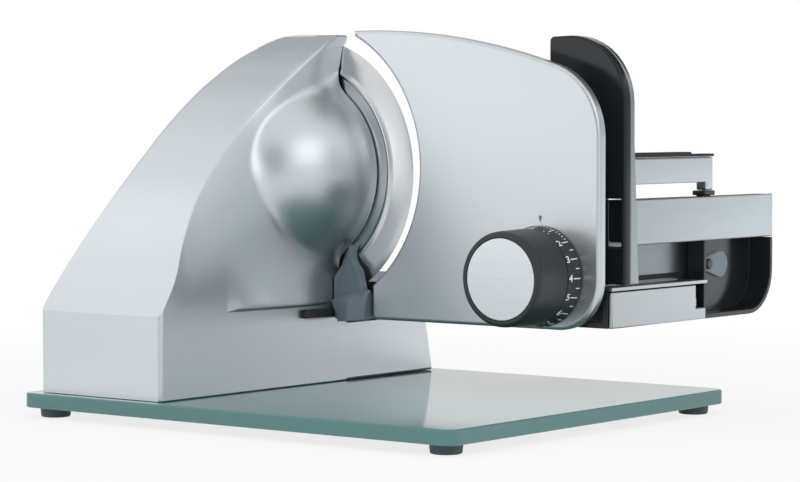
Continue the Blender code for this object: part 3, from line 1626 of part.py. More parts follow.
def carriage_runner():
    top = tray_bottom() - GAP
    runner = box(
        "carriage_runner",
        (RUNNER_LEFT, RUNNER_FRONT, RUNNER_BOTTOM),
        (RUNNER_RIGHT, RUNNER_BACK, top),
        0.0006,
        1,
    )
    holes = [
        rod(
            "runner_hole",
            "Z",
            (x, (RUNNER_FRONT + RUNNER_BACK) / 2),
            top - 0.009,
            top + CUT_MARGIN,
            SCREW_RADIUS + ROD_GAP,
            12,
        )
        for x in RUNNER_SCREW_X
    ]
    return cut(runner, *holes)


def runner_screws():
    screws = []
    top = tray_top() + GAP
    for number, x in enumerate(RUNNER_SCREW_X, 1):
        profile = [
            (0.0, top + 0.0014),
            (SCREW_HEAD_RADIUS * 0.6, top + 0.0014),
            (SCREW_HEAD_RADIUS * 0.9, top + 0.0007),
            (SCREW_HEAD_RADIUS * 0.9, top),
            (SCREW_RADIUS, top),
            (SCREW_RADIUS, tray_bottom() - 0.009),
            (0.0, tray_bottom() - 0.009),
        ]
        place = (x, (RUNNER_FRONT + RUNNER_BACK) / 2)
        screws.append(turned(f"runner_screw_{number}", "Z", place, profile, 12))
    return screws


def pusher_outline(left, wide):
    """The pusher's outline: a tall shield, wider below and notched round the wall and the rail."""
    shoulder_x = PUSHER_RIGHT - PUSHER_CORNER_DROP
    shoulder_z = PUSHER_TOP - PUSHER_CORNER_DROP
    shield = arc((shoulder_x, shoulder_z), PUSHER_CORNER_DROP, 0, 90, 10)
    notch_left = WALL_X - PUSHER_NOTCH_GAP
    notch_right = rail_right() + GAP + BAND_THICKNESS + PUSHER_NOTCH_GAP
    slot_right = WALL_X + WALL_THICKNESS + PUSHER_NOTCH_GAP
    notch_top = BAND_TOP + PUSHER_NOTCH_GAP
    notch_bottom = BAND_BOTTOM - PUSHER_NOTCH_GAP
    foot = [
        (notch_left, PUSHER_BOTTOM),
        (notch_left, notch_top),
        (notch_right, notch_top),
        (notch_right, notch_bottom),
        (slot_right, notch_bottom),
        (slot_right, PUSHER_BOTTOM),
        (PUSHER_RIGHT, PUSHER_BOTTOM),
    ]
    left_side = [(left, PUSHER_TOP - 0.0015)]
    if wide:
        left_side += [(left, PUSHER_WIDE_TOP)]
        left_side += arc((wide + 0.020, PUSHER_WIDE_TOP - 0.020), 0.020, 90, 180, 5)
        left_side += [(wide, PUSHER_BOTTOM)]
    else:
        left_side += [(left, PUSHER_BOTTOM)]
    return foot + shield + left_side


def pusher_face():
    face = sheet(
        "pusher_face",
        "XZ",
        PUSHER_FRONT,
        PUSHER_FRONT + PUSHER_THICKNESS,
        pusher_outline(PUSHER_LEFT, PUSHER_WIDE_LEFT),
        (),
        0.0012,
        1,
    )
    return face


def pusher_back():
    """Metal backing plate, thicker towards its foot."""
    front = PUSHER_FRONT + PUSHER_THICKNESS + GAP
    back = front + PUSHER_BACK_THICKNESS + PUSHER_FOOT_THICKNESS
    plate = sheet("pusher_back", "XZ", front, back, pusher_outline(PUSHER_LEFT + 0.002, None))
    lean = [
        (front + PUSHER_BACK_THICKNESS, PUSHER_TOP + CUT_MARGIN),
        (front + PUSHER_BACK_THICKNESS, PUSHER_LEAN_TOP),
        (back - 0.0002, PUSHER_BOTTOM - CUT_MARGIN),
        (back + CUT_MARGIN, PUSHER_BOTTOM - CUT_MARGIN),
        (back + CUT_MARGIN, PUSHER_TOP + CUT_MARGIN),
    ]
    far = PUSHER_RIGHT + CUT_MARGIN
    return cut(plate, sheet("back_lean", "YZ", PUSHER_LEFT, far, lean))


def arm_front():
    """The arm starts behind the leaning back plate, at the height of its lower edge."""
    front = PUSHER_FRONT + PUSHER_THICKNESS + GAP
    rise = PUSHER_LEAN_TOP - PUSHER_BOTTOM
    share = (PUSHER_LEAN_TOP - ARM_BOTTOM) / rise
    return front + PUSHER_BACK_THICKNESS + PUSHER_FOOT_THICKNESS * share + GAP


def pusher_arm():
    """Bar from the back plate over the rail, with a leg down to the slider."""
    leg = ARM_BACK - ARM_LEG
    outline = [
        (arm_front(), ARM_BOTTOM),
        (leg, ARM_BOTTOM),
        (leg, ARM_LEG_BOTTOM),
        (ARM_BACK, ARM_LEG_BOTTOM),
        (ARM_BACK, ARM_TOP),
        (arm_front(), ARM_TOP),
    ]
    return sheet("pusher_arm", "YZ", ARM_LEFT, ARM_RIGHT, outline, (), 0.0008, 1)


def pusher_arm_cap():
    low = ARM_TOP + GAP
    outline = [
        (arm_front(), low),
        (ARM_BACK, low),
        (ARM_BACK, low + ARM_CAP_LOW),
        (ARM_CAP_STEP, low + ARM_CAP_LOW),
        (ARM_CAP_STEP, low + ARM_CAP),
        (arm_front(), low + ARM_CAP),
    ]
    return sheet("pusher_arm_cap", "YZ", ARM_LEFT - 0.0006, ARM_RIGHT + 0.0006, outline)


def pusher_slider():
    """Slider on the rail, with a key down in the rail's groove."""
    low = RAIL_TOP + RUNNING_GAP
    high = ARM_LEG_BOTTOM - GAP
    left = rail_left()
    right = rail_right()
    middle = (left + right) / 2
    half = RAIL_GROOVE_WIDTH / 2 - GAP
    front = ARM_BACK - ARM_LEG - SLIDER_MARGIN
    back = ARM_BACK + SLIDER_MARGIN
    slider = box("pusher_slider", (left, front, low), (right, back, high), 0.0005, 1)
    key = box(
        "slider_key",
        (middle - half, front + 0.001, RAIL_TOP - SLIDER_KEY_DEPTH),
        (middle + half, ARM_BACK, low + 0.001),
    )
    return join(slider, key)


def switch_button():
    """Round push button in the housing's left wall, pushed in to switch the motor on."""
    outside = HOUSING_LEFT - BUTTON_PROUD
    inside = HOUSING_LEFT + HOUSING_WALL + 0.0012
    profile = [
        (0.0, outside),
        (BUTTON_RADIUS - 0.0015, outside),
        (BUTTON_RADIUS, outside + 0.0012),
        (BUTTON_RADIUS, inside),
        (0.0, inside),
    ]
    return turned("switch_button", "X", (SWITCH_Y, SWITCH_Z), profile, 28)


def switch_body():
    left = HOUSING_LEFT + HOUSING_WALL + 0.0012 + SWITCH_TRAVEL + GAP
    floor = GAP + COVER_THICKNESS + GAP
    return box(
        "switch_body",
        (left, SWITCH_Y - 0.012, floor),
        (left + 0.016, SWITCH_Y + 0.012, SWITCH_Z + 0.010),
        0.0008,
        1,
    )


def cord_inlet():
    """Rubber gland for the mains cord in the rear block's back wall."""
    inner = REAR_END - REAR_WALL - 0.003
    outer = REAR_END + 0.004
    profile = [
        (0.0035, inner),
        (INLET_RADIUS, inner),
        (INLET_RADIUS, outer - 0.001),
        (INLET_RADIUS - 0.001, outer),
        (0.0035, outer),
    ]
    return turned("cord_inlet", "Y", (INLET_X, INLET_Z), profile, 24)


for old in list(bpy.data.objects):
    bpy.data.objects.remove(old, do_unlink=True)

OBJECT = collection("food_slicer")
CUTTERS = collection("cutters")

GLASS = material("teal_glass", (0.36, 0.55, 0.55), 0.08, 0.0)
RUBBER = material("dark_rubber", (0.05, 0.05, 0.055), 0.8, 0.0)
CAST = material("silver_casting", (0.74, 0.75, 0.77), 0.38, 0.9)
ROLLED = material("satin_aluminium", (0.70, 0.71, 0.73), 0.32, 1.0)
STEEL = material("polished_steel", (0.62, 0.63, 0.65), 0.22, 1.0)
BLACK = material("satin_black_plastic", (0.02, 0.02, 0.022), 0.4, 0.0)
GLOSS = material("gloss_black_plastic", (0.012, 0.013, 0.015), 0.12, 0.0)
BRASS = material("bronze_wheel", (0.60, 0.42, 0.18), 0.4, 0.9)
IRON = material("motor_iron", (0.30, 0.30, 0.31), 0.5, 0.8)
ZINC = material("zinc_screw", (0.55, 0.56, 0.58), 0.35, 1.0)

root = empty("food_slicer_root", (0.0, 0.0, 0.0))
motor_body = empty("motor_axis", (worm_x(), motor_y(), BLADE_Z), root)
blade_body = empty("blade_axis", (BLADE_X, BLADE_FACE, BLADE_Z), root)
lock_body = empty("lock_axis", (BLADE_X, BLADE_FACE, BLADE_Z), root)
plate_body = empty("stop_plate_slide", (DIAL_X, BLADE_FACE, GUIDE_ROD_Z), root)
dial_body = empty("dial_axis", (DIAL_X, PLATE_FRONT, DIAL_Z), root)
carriage_body = empty("carriage_slide", (TRAY_RIGHT, BEAM_BACK, BEAM_TOP), root)
pusher_body = empty("pusher_slide", (ARM_RIGHT, ARM_BACK, RAIL_TOP), root)
lever_body = empty("lever_axis", (lever_left(), LEVER_Y, LEVER_Z), root)
switch_axis = empty("switch_axis", (HOUSING_LEFT, SWITCH_Y, SWITCH_Z), root)

finish(glass_base(), GLASS, root)
finish_all(rubber_feet(), RUBBER, root)
finish_all(base_screws(), ZINC, root)
finish(housing_shell(), CAST, root)
finish(bottom_cover(), ZINC, root)
finish(motor_stator(), IRON, root)
finish(motor_lower_bracket(), CAST, root)
finish(motor_upper_bracket(), CAST, root)
finish(run_capacitor(), ROLLED, root)
finish_all(shaft_bearings(), STEEL, root)
finish(lower_blade_guard(), BLACK, root)
finish(adjust_rod(), STEEL, root)
finish(guide_beam(), BLACK, root)
finish(beam_end_cap(), ROLLED, root)
finish(channel_stop_screw(), ZINC, root)
finish(switch_body(), BLACK, root)
finish(cord_inlet(), RUBBER, root)
finish(switch_button(), BLACK, switch_axis)
finish(motor_rotor(), STEEL, motor_body)
finish(motor_worm(), STEEL, motor_body)
finish(drive_gear(), BRASS, blade_body)
finish(blade_shaft(), STEEL, blade_body)
finish_all(drive_pins(), STEEL, blade_body)
finish(blade(), STEEL, blade_body)
finish(blade_lock(), BLACK, lock_body)
finish(stop_plate(), CAST, plate_body)
finish_all(guide_rods(), STEEL, plate_body)
finish(dial_axle(), STEEL, plate_body)
finish(axle_screw(), ZINC, plate_body)
finish(dial_knob(), BLACK, dial_body)
finish(dial_disc(), ROLLED, dial_body)
finish(dial_thread_sleeve(), BLACK, dial_body)
finish(food_tray(), ROLLED, carriage_body)
finish(carriage_wall(), ROLLED, carriage_body)
finish(rail_beam(), BLACK, carriage_body)
finish(rail_band(), ROLLED, carriage_body)
finish(carriage_end_shell(), GLOSS, carriage_body)
finish(lever_pin(), ZINC, carriage_body)
finish(carriage_runner(), BLACK, carriage_body)
finish_all(runner_screws(), ZINC, carriage_body)
finish(carriage_lever(), BLACK, lever_body)
finish(pusher_face(), GLOSS, pusher_body)
finish(pusher_back(), ROLLED, pusher_body)
finish(pusher_arm(), ROLLED, pusher_body)
finish(pusher_arm_cap(), BLACK, pusher_body)
finish(pusher_slider(), BLACK, pusher_body)

for tool in CUTTERS.objects:
    hang(tool, root)

middle_x = (OBJECT_LEFT + GLASS_LENGTH) / 2
root.location = (-middle_x, -RAIL_BACK / 2, GLASS_THICKNESS + FOOT_HEIGHT)
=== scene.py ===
# %% [markdown]
# # A kitchen food slicer on its glass plate
# The real machine is a fin-shaped metal housing with a round blade, a stop plate with a dial, and a sliding
# carriage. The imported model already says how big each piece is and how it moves. This lesson dresses those
# pieces with fine meshes, finishes and light, and never moves or resizes them.

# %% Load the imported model
import json
import math

import bmesh
import bpy
import numpy as np
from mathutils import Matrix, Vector


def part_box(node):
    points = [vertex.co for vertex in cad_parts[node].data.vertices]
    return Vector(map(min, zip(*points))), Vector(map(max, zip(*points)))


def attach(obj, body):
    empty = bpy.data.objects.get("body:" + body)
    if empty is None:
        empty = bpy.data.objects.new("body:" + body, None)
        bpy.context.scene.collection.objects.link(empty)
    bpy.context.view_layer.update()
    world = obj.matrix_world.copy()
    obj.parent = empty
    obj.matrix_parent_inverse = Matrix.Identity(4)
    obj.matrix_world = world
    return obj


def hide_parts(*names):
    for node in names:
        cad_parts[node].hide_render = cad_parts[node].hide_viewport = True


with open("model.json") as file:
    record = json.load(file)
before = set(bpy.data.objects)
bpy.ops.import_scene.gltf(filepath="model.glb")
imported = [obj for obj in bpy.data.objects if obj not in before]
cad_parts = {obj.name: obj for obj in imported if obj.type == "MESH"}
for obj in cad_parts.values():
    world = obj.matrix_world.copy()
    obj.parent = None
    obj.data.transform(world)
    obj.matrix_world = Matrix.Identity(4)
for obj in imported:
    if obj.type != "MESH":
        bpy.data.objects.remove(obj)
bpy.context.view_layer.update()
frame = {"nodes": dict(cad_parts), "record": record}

RECORD = frame["record"]
NODES = frame["nodes"]

# %% [markdown]
# ## One corner to measure from
# A fitter measures this machine from one corner of its glass plate. The scene does the same: every length below
# is in millimetres from the front left corner of the glass's top face, and spot() turns it into metres.

# %% The glass corner and the who-rides-where tables
MM = 0.001
GLASS_LOW, GLASS_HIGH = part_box("glass_base")
CORNER = Vector((GLASS_LOW.x, GLASS_LOW.y, GLASS_HIGH.z))
BODY_OF = {node: body for body, nodes in RECORD["behaviour"]["bodies"].items() for node in nodes}
SLOT_OF = {row["node"]: row["material_slot"] for row in RECORD["subparts"]}


def spot(x, y, z):
    """A place in the frame's metres, from millimetres off the glass corner."""
    return CORNER + Vector((x, y, z)) * MM


print("glass corner at", [round(v, 5) for v in CORNER])

# %% [markdown]
# ## The camera
# The photograph was taken with a long lens from the front right, a little above the plate. Matching the lens as
# well as the place matters: a long lens keeps the fin and the carriage nearly the same scale.

# %% Camera
CAMERA_TURN, CAMERA_RISE, CAMERA_ROLL = 38.007, 2.614, 0.017
CAMERA_PLACE = (1201.07, -1159.69, 168.22)
FILM_WIDTH, FOCAL_LENGTH = 36.0, 121.88
FARTHEST_SEEN = 50.0

lens = bpy.data.cameras.new("photo_lens")
lens.sensor_width = FILM_WIDTH
lens.lens = FOCAL_LENGTH
lens.clip_end = FARTHEST_SEEN
camera = bpy.data.objects.new("photo_camera", lens)
camera.location = spot(*CAMERA_PLACE)
camera.rotation_euler = [math.radians(a) for a in (90.0 - CAMERA_RISE, CAMERA_ROLL, CAMERA_TURN)]
bpy.context.scene.collection.objects.link(camera)
bpy.context.scene.camera = camera
print("camera at", [round(v, 4) for v in camera.location])

# %% [markdown]
# ## Room and light
# Satin metal shows little of itself and much of the room. The room is white paper above and below, with three
# large soft lamps. Cards stand where a photographer would put them, grey ones so that the metal has something
# darker to show, and a bright one low on the right. They are only seen in reflections, and cast no light on the
# floor or on the dull pieces.

# %% View and world
WORLD_LIGHT = 0.86

scene = bpy.context.scene
scene.view_settings.view_transform = "Standard"


def seen_directly(tree):
    """A value that is 1 for camera, glossy and transmission rays, 0 for the rest."""
    path = tree.nodes.new("ShaderNodeLightPath")
    value = path.outputs["Is Camera Ray"]
    for ray in ("Is Glossy Ray", "Is Transmission Ray"):
        larger = tree.nodes.new("ShaderNodeMath")
        larger.operation = "MAXIMUM"
        tree.links.new(value, larger.inputs[0])
        tree.links.new(path.outputs[ray], larger.inputs[1])
        value = larger.outputs[0]
    return value


world = bpy.data.worlds.new("white_room")
world.use_nodes = True
scene.world = world
tree = world.node_tree
tree.nodes.clear()
choose = tree.nodes.new("ShaderNodeMixShader")
tree.links.new(seen_directly(tree), choose.inputs["Fac"])
# The mix's first input lights the machine, the second is what the eye and the mirrors see
for place, strength in ((1, WORLD_LIGHT), (2, 1.0)):
    white = tree.nodes.new("ShaderNodeBackground")
    white.inputs["Color"].default_value = (1.0, 1.0, 1.0, 1.0)
    white.inputs["Strength"].default_value = strength
    tree.links.new(white.outputs[0], choose.inputs[place])
sky = tree.nodes.new("ShaderNodeOutputWorld")
tree.links.new(choose.outputs[0], sky.inputs["Surface"])
print("world light", WORLD_LIGHT)

# %% Floor
FLOOR_HALF = 6.0
PAPER_WHITE = (0.86, 0.87, 0.88, 1.0)
# From metres off the middle to the share of pure white in what the eye sees: near the machine a shadow stays
WHITE_FADE = {"From Min": 0.30, "From Max": 0.85, "To Min": 0.80, "To Max": 1.0}

paper = bpy.data.materials.new("floor_paper")
paper.use_nodes = True
tree = paper.node_tree
tree.nodes.clear()
new, link = tree.nodes.new, tree.links.new
matt = new("ShaderNodeBsdfDiffuse")
matt.inputs["Color"].default_value = PAPER_WHITE
glow = new("ShaderNodeEmission")
glow.inputs["Strength"].default_value = 1.0
where = new("ShaderNodeTexCoord")
distance = new("ShaderNodeVectorMath")
distance.operation = "LENGTH"
link(where.outputs["Object"], distance.inputs[0])
fade = new("ShaderNodeMapRange")
fade.interpolation_type = "SMOOTHSTEP"
for socket, value in WHITE_FADE.items():
    fade.inputs[socket].default_value = value
link(distance.outputs["Value"], fade.inputs["Value"])
share = new("ShaderNodeMath")
share.operation = "MULTIPLY"
link(fade.outputs[0], share.inputs[1])
link(seen_directly(tree), share.inputs[0])
blend = new("ShaderNodeMixShader")
link(share.outputs[0], blend.inputs["Fac"])
link(matt.outputs[0], blend.inputs[1])
link(glow.outputs[0], blend.inputs[2])
out = new("ShaderNodeOutputMaterial")
link(blend.outputs[0], out.inputs["Surface"])


def flat_card(name, centre, right, up, look):
    """A flat rectangle with half sides right and up; stage only."""
    centre, right, up = Vector(centre), Vector(right), Vector(up)
    corners = [centre - right - up, centre + right - up, centre + right + up, centre - right + up]
    mesh = bpy.data.meshes.new(name)
    mesh.from_pydata([tuple(c) for c in corners], [], [(0, 1, 2, 3)])
    card = bpy.data.objects.new(name, mesh)
    card.data.materials.append(look)
    scene.collection.objects.link(card)
    return card


flat_card("floor", (0, 0, 0), (FLOOR_HALF, 0, 0), (0, FLOOR_HALF, 0), paper)
print("floor half side", FLOOR_HALF)

# %% Soft lamps
LAMP_AIM = Vector((0.0, 0.0, 0.1))
LAMPS = {
    # name: (place, width, height, watts)
    "key_box": ((1.56, -0.66, 1.02), 1.00, 1.00, 3.2),
    "left_box": ((-1.40, -0.55, 1.50), 1.0, 0.9, 1.1),
    "front_left_box": ((-1.18, -1.62, 0.20), 1.2, 0.36, 1.2),
}
for name, (place, width, height, watts) in LAMPS.items():
    lamp = bpy.data.lights.new(name, "AREA")
    lamp.shape = "RECTANGLE"
    lamp.size = width
    lamp.size_y = height
    lamp.energy = watts
    holder = bpy.data.objects.new(name, lamp)
    holder.location = place
    holder.rotation_euler = (LAMP_AIM - Vector(place)).to_track_quat("-Z", "Y").to_euler()
    holder.visible_camera = False
    scene.collection.objects.link(holder)
print("lamps:", ", ".join(LAMPS))

# %% Cards that only reflections see
CARD_TINT = (1.0, 1.03, 1.06)


def card_look(name, grey):
    """A card's glow: a cool grey, where 1 is white."""
    look = bpy.data.materials.new(name)
    look.use_nodes = True
    tree = look.node_tree
    tree.nodes.clear()
    glow = tree.nodes.new("ShaderNodeEmission")
    glow.inputs["Color"].default_value = (*(grey * share for share in CARD_TINT), 1.0)
    out = tree.nodes.new("ShaderNodeOutputMaterial")
    tree.links.new(glow.outputs[0], out.inputs["Surface"])
    return look


CARDS = {
    # name: (grey, centre, half width, half height)
    "right_side_card": (0.55, (0.50, 0.42, 0.27), (0.0, 0.52, 0.0), (0.0, 0.0, 0.13)),
    "low_side_card": (2.0, (0.50, 0.88, 0.07), (0.0, 0.28, 0.0), (0.0, 0.0, 0.065)),
    "back_right_card": (0.10, (0.25, 1.14, 1.56), (0.80, -0.18, 0.0), (-0.12, -0.60, 0.56)),
    "back_left_card": (0.48, (-1.42, 1.02, 1.60), (0.70, 0.75, 0.0), (0.45, -0.32, 0.62)),
    "front_card": (0.40, (0.635, -1.844, 0.80), (0.71, 0.245, 0.0), (-0.04, 0.12, 0.70)),
    "low_left_card": (0.66, (-0.58, -0.72, 0.004), (0.50, -0.45, 0.0), (0.30, 0.35, 0.0)),
}
for name, (grey, centre, right, up) in CARDS.items():
    card = flat_card(name, centre, right, up, card_look(name, grey))
    card.visible_camera = card.visible_diffuse = card.visible_shadow = card.visible_transmission = False
print("cards:", ", ".join(CARDS))

# %% [markdown]
# ## Finishes
# The castings are sprayed with a fine silver paint: metal flakes give a soft sheen with a grain that is finer
# than a millimetre. The blade and the sheet parts are bare metal, and the plastics have the faint leathery skin
# of a mould. Each finish is made by one helper from the same three things: colour, roughness that varies a
# little, and a bump too small to see as shape.

# %% A finish helper
FINE_DETAIL = 3.0
BROAD_SCALE, BROAD_DETAIL = 14.0, 2.0
BUMP_HEIGHT = 0.0002


def finish(name, colour, roughness, metallic, grain, stretch=(1.0, 1.0, 1.0), depth=0.02, swing=0.04,
           tint=0.03, **sockets):
    """A surface with a fine noise in its roughness and bump, and a broad one in its colour."""
    look = bpy.data.materials.new(name)
    look.use_nodes = True
    shader = look.node_tree.nodes["Principled BSDF"]
    new, link = look.node_tree.nodes.new, look.node_tree.links.new
    shader.inputs["Metallic"].default_value = metallic
    for socket, value in sockets.items():
        shader.inputs[socket.replace("_", " ")].default_value = value
    where = new("ShaderNodeTexCoord")
    scale = new("ShaderNodeMapping")
    scale.inputs["Scale"].default_value = stretch
    link(where.outputs["Object"], scale.inputs["Vector"])
    fine = new("ShaderNodeTexNoise")
    fine.inputs["Scale"].default_value = grain
    fine.inputs["Detail"].default_value = FINE_DETAIL
    link(scale.outputs[0], fine.inputs["Vector"])
    broad = new("ShaderNodeTexNoise")
    broad.inputs["Scale"].default_value = BROAD_SCALE
    broad.inputs["Detail"].default_value = BROAD_DETAIL
    link(where.outputs["Object"], broad.inputs["Vector"])
    spread = new("ShaderNodeMapRange")
    spread.inputs["To Min"].default_value = roughness - swing
    spread.inputs["To Max"].default_value = roughness + swing
    link(fine.outputs["Fac"], spread.inputs["Value"])
    link(spread.outputs[0], shader.inputs["Roughness"])
    mix = new("ShaderNodeMix")
    mix.data_type = "RGBA"
    dark = [c * (1.0 - tint) for c in colour]
    light = [min(c * (1.0 + tint), 1.0) for c in colour]
    mix.inputs["A"].default_value = (*dark, 1.0)
    mix.inputs["B"].default_value = (*light, 1.0)
    link(broad.outputs["Fac"], mix.inputs["Factor"])
    link(mix.outputs["Result"], shader.inputs["Base Color"])
    bump = new("ShaderNodeBump")
    bump.inputs["Strength"].default_value = depth
    bump.inputs["Distance"].default_value = BUMP_HEIGHT
    link(fine.outputs["Fac"], bump.inputs["Height"])
    link(bump.outputs[0], shader.inputs["Normal"])
    return look


# %% Brushed sheet metal
BRUSH_LINES = (0.06, 0.06, 1.0)


def brushed(name, colour, roughness=0.30):
    """Bare sheet metal: the noise is stretched sideways, as a brush leaves it."""
    return finish(name, colour, roughness, 1.0, 700.0, BRUSH_LINES, 0.10)


# %% The finishes, one for each material slot of the record
LOOKS = {
    "silver_casting": finish("silver_casting", (0.60, 0.642, 0.668), 0.36, 0.95, 1400.0, depth=0.05),
    "satin_aluminium": brushed("satin_aluminium", (0.58, 0.62, 0.645)),
    "polished_steel": finish("polished_steel", (0.64, 0.665, 0.685), 0.24, 1.0, 600.0, depth=0.03),
    "dark_rubber": finish("dark_rubber", (0.060, 0.088, 0.102), 0.62, 0.0, 500.0, depth=0.2, swing=0.08),
    "satin_black_plastic": finish("satin_black_plastic", (0.018, 0.024, 0.029), 0.40, 0.0, 800.0, depth=0.12),
    "gloss_black_plastic": finish("gloss_black_plastic", (0.014, 0.019, 0.023), 0.16, 0.0, 90.0, depth=0.02,
                                  swing=0.03, Specular_IOR_Level=0.28),
    "bronze_wheel": finish("bronze_wheel", (0.60, 0.42, 0.18), 0.34, 1.0, 500.0, depth=0.1),
    "motor_iron": finish("motor_iron", (0.20, 0.20, 0.21), 0.5, 0.7, 900.0, (1.0, 1.0, 8.0), 0.3),
    "zinc_screw": finish("zinc_screw", (0.62, 0.63, 0.65), 0.30, 1.0, 700.0, depth=0.08),
}
print("finishes:", ", ".join(LOOKS))

# %% [markdown]
# The glass plate is a thick tempered sheet with a teal tint. A quarter of the light goes through, and the rest
# meets the tint, so the plate reads as coloured glass on pale paper and still mirrors what stands on it.

# %% Glass
TEAL = (0.13, 0.30, 0.30)
GLASS_SHARE_CLEAR = 0.25

LOOKS["teal_glass"] = finish("teal_glass", TEAL, 0.08, 0.0, 60.0, depth=0.0, swing=0.02, tint=0.02, IOR=1.5,
                             Transmission_Weight=GLASS_SHARE_CLEAR)
print("glass tint", TEAL, "and clear share", GLASS_SHARE_CLEAR)

# %% [markdown]
# Some pieces share a material slot and still don't look alike. The sheet pieces get darker copies of the sheet
# finish, each darkened for the shade that falls on it: painted shade. The guard's moulding is a paler black. They
# get a finish of their own.

# %% Finishes of single pieces
WHITE_PRINT = finish("white_print", (0.86, 0.87, 0.88), 0.5, 0.0, 900.0, depth=0.02)
GUARD_SKIN = finish("guard_skin", (0.155, 0.205, 0.238), 0.42, 0.0, 800.0, depth=0.10)
# Darker copies of the sheet finish, each as dark as the shade on its pieces: painted shade
GREY_SHADED_SHEET = brushed("grey_shaded_sheet", (0.37, 0.405, 0.425))
DARK_SHADED_SHEET = brushed("dark_shaded_sheet", (0.32, 0.355, 0.375))
WALL_SHADED_SHEET = brushed("wall_shaded_sheet", (0.22, 0.245, 0.26), 0.32)
ARM_SHADED_BAR = brushed("arm_shaded_bar", (0.50, 0.54, 0.56))
CAP_SHADED_SHEET = brushed("cap_shaded_sheet", (0.45, 0.48, 0.50), 0.32)
# Near black: painted shade inside the carriage wall's slot, and also the finish of the pusher arm's cap
SLOT_SHADE_AND_CAP_BLACK = finish("slot_shade_and_cap_black", (0.004, 0.005, 0.006), 0.6, 0.0, 500.0, depth=0.10)
print("materials made:", len(bpy.data.materials))

# %% [markdown]
# ## Mesh helpers
# Nearly every piece is one of three things: a plate with a rounded rim, a turned form, or a copy of the packed
# piece with its edges eased. One helper makes each of them, so that all rims catch the light in the same way.

# %% From lists of points to an object that stands for a node
PLANES = {"XZ": (0, 2, 1), "YZ": (1, 2, 0), "XY": (0, 1, 2)}


def to_object(name, form):
    """An object from a drawn form, with its faces turned outwards."""
    bmesh.ops.recalc_face_normals(form, faces=form.faces)
    mesh = bpy.data.meshes.new(name)
    form.to_mesh(mesh)
    form.free()
    piece = bpy.data.objects.new(name, mesh)
    scene.collection.objects.link(piece)
    return piece


SHARP_FROM, FLAT_FACE_WEIGHT = 34.0, 90


def ease(piece, angle=SHARP_FROM):
    """Smooth shading below this angle between faces, with flat faces kept flat."""
    piece.data.shade_smooth()
    piece.data.set_sharp_from_angle(angle=math.radians(angle))
    weigh = piece.modifiers.new("flat_faces_rule", "WEIGHTED_NORMAL")
    weigh.keep_sharp = True
    weigh.weight = FLAT_FACE_WEIGHT
    return piece


def dress(piece, look, body):
    """Give a piece its finish and the body that it rides on."""
    piece.data.materials.clear()
    piece.data.materials.append(look)
    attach(piece, body)


def stands_for(piece, node, look=None):
    """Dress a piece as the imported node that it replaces."""
    dress(piece, look or LOOKS[SLOT_OF[node]], BODY_OF[node])
    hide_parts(node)


print("planes to draw in:", ", ".join(PLANES))

# %% Outlines in millimetres


def arc(centre, radius, start, end, steps):
    """Points along a circle between two angles in degrees."""
    turns = [math.radians(start + (end - start) * i / steps) for i in range(steps + 1)]
    return [(centre[0] + radius * math.cos(a), centre[1] + radius * math.sin(a)) for a in turns]


def rounded(low, high, radius, steps):
    """A rectangle with round corners."""
    return (
        arc((high[0] - radius, low[1] + radius), radius, -90, 0, steps)
        + arc((high[0] - radius, high[1] - radius), radius, 0, 90, steps)
        + arc((low[0] + radius, high[1] - radius), radius, 90, 180, steps)
        + arc((low[0] + radius, low[1] + radius), radius, 180, 270, steps)
    )


def inward(outline):
    """For each corner of a closed outline, the move that shifts both its sides inwards by one."""
    points = np.array(outline)
    ahead = np.roll(points, -1, axis=0) - points
    ahead /= np.linalg.norm(ahead, axis=1)[:, None]
    behind = np.roll(ahead, 1, axis=0)
    area = np.sum(points[:, 0] * np.roll(points[:, 1], -1) - points[:, 1] * np.roll(points[:, 0], -1))
    turn = 1.0 if area > 0 else -1.0
    side = turn * np.stack([-(ahead + behind)[:, 1], (ahead + behind)[:, 0]], axis=1)
    side /= np.linalg.norm(side, axis=1)[:, None]
    lean = turn * (side[:, 0] * -ahead[:, 1] + side[:, 1] * ahead[:, 0])
    return side / np.clip(lean, 0.5, 1.0)[:, None]


print("points in a rounded square:", len(rounded((0.0, 0.0), (10.0, 10.0), 2.0, 8)))

# %% Plates with a rounded rim
RIM_STEPS = 5


def join_rings(form, rings):
    """Faces between rings with the same number of points, and one on each end."""
    count = len(rings[0])
    for one, two in zip(rings, rings[1:]):
        for i in range(count):
            j = (i + 1) % count
            form.faces.new((one[i], one[j], two[j], two[i]))
    form.faces.new(rings[0])
    form.faces.new(rings[-1])


def plate(name, plane, low, high, outline, round_low=0.0, round_high=0.0, steps=RIM_STEPS):
    """A plate between two heights whose low and high rims are rounded by these radii."""
    u, v, w = PLANES[plane]
    points = np.array(outline)
    shift = inward(outline)
    layers = []
    for i in range(steps + 1 if round_low else 1):
        turn = math.pi / 2 * i / steps
        layers.append((round_low * (1 - math.sin(turn)), low + round_low * (1 - math.cos(turn))))
    for i in range(steps + 1 if round_high else 1):
        turn = math.pi / 2 * i / steps
        layers.append((round_high * (1 - math.cos(turn)), high - round_high * (1 - math.sin(turn))))
    form = bmesh.new()
    rings = []
    for inset, depth in layers:
        ring = []
        for point in points + shift * inset:
            place = [0.0, 0.0, 0.0]
            place[u], place[v], place[w] = point[0], point[1], depth
            ring.append(form.verts.new(spot(*place)))
        rings.append(ring)
    join_rings(form, rings)
    return ease(to_object(name, form))


print("a rounded rim takes", RIM_STEPS, "steps unless told otherwise")

# %% Turned forms
TURN_ORDER = {"Y": (0, 2, 1), "Z": (0, 1, 2)}


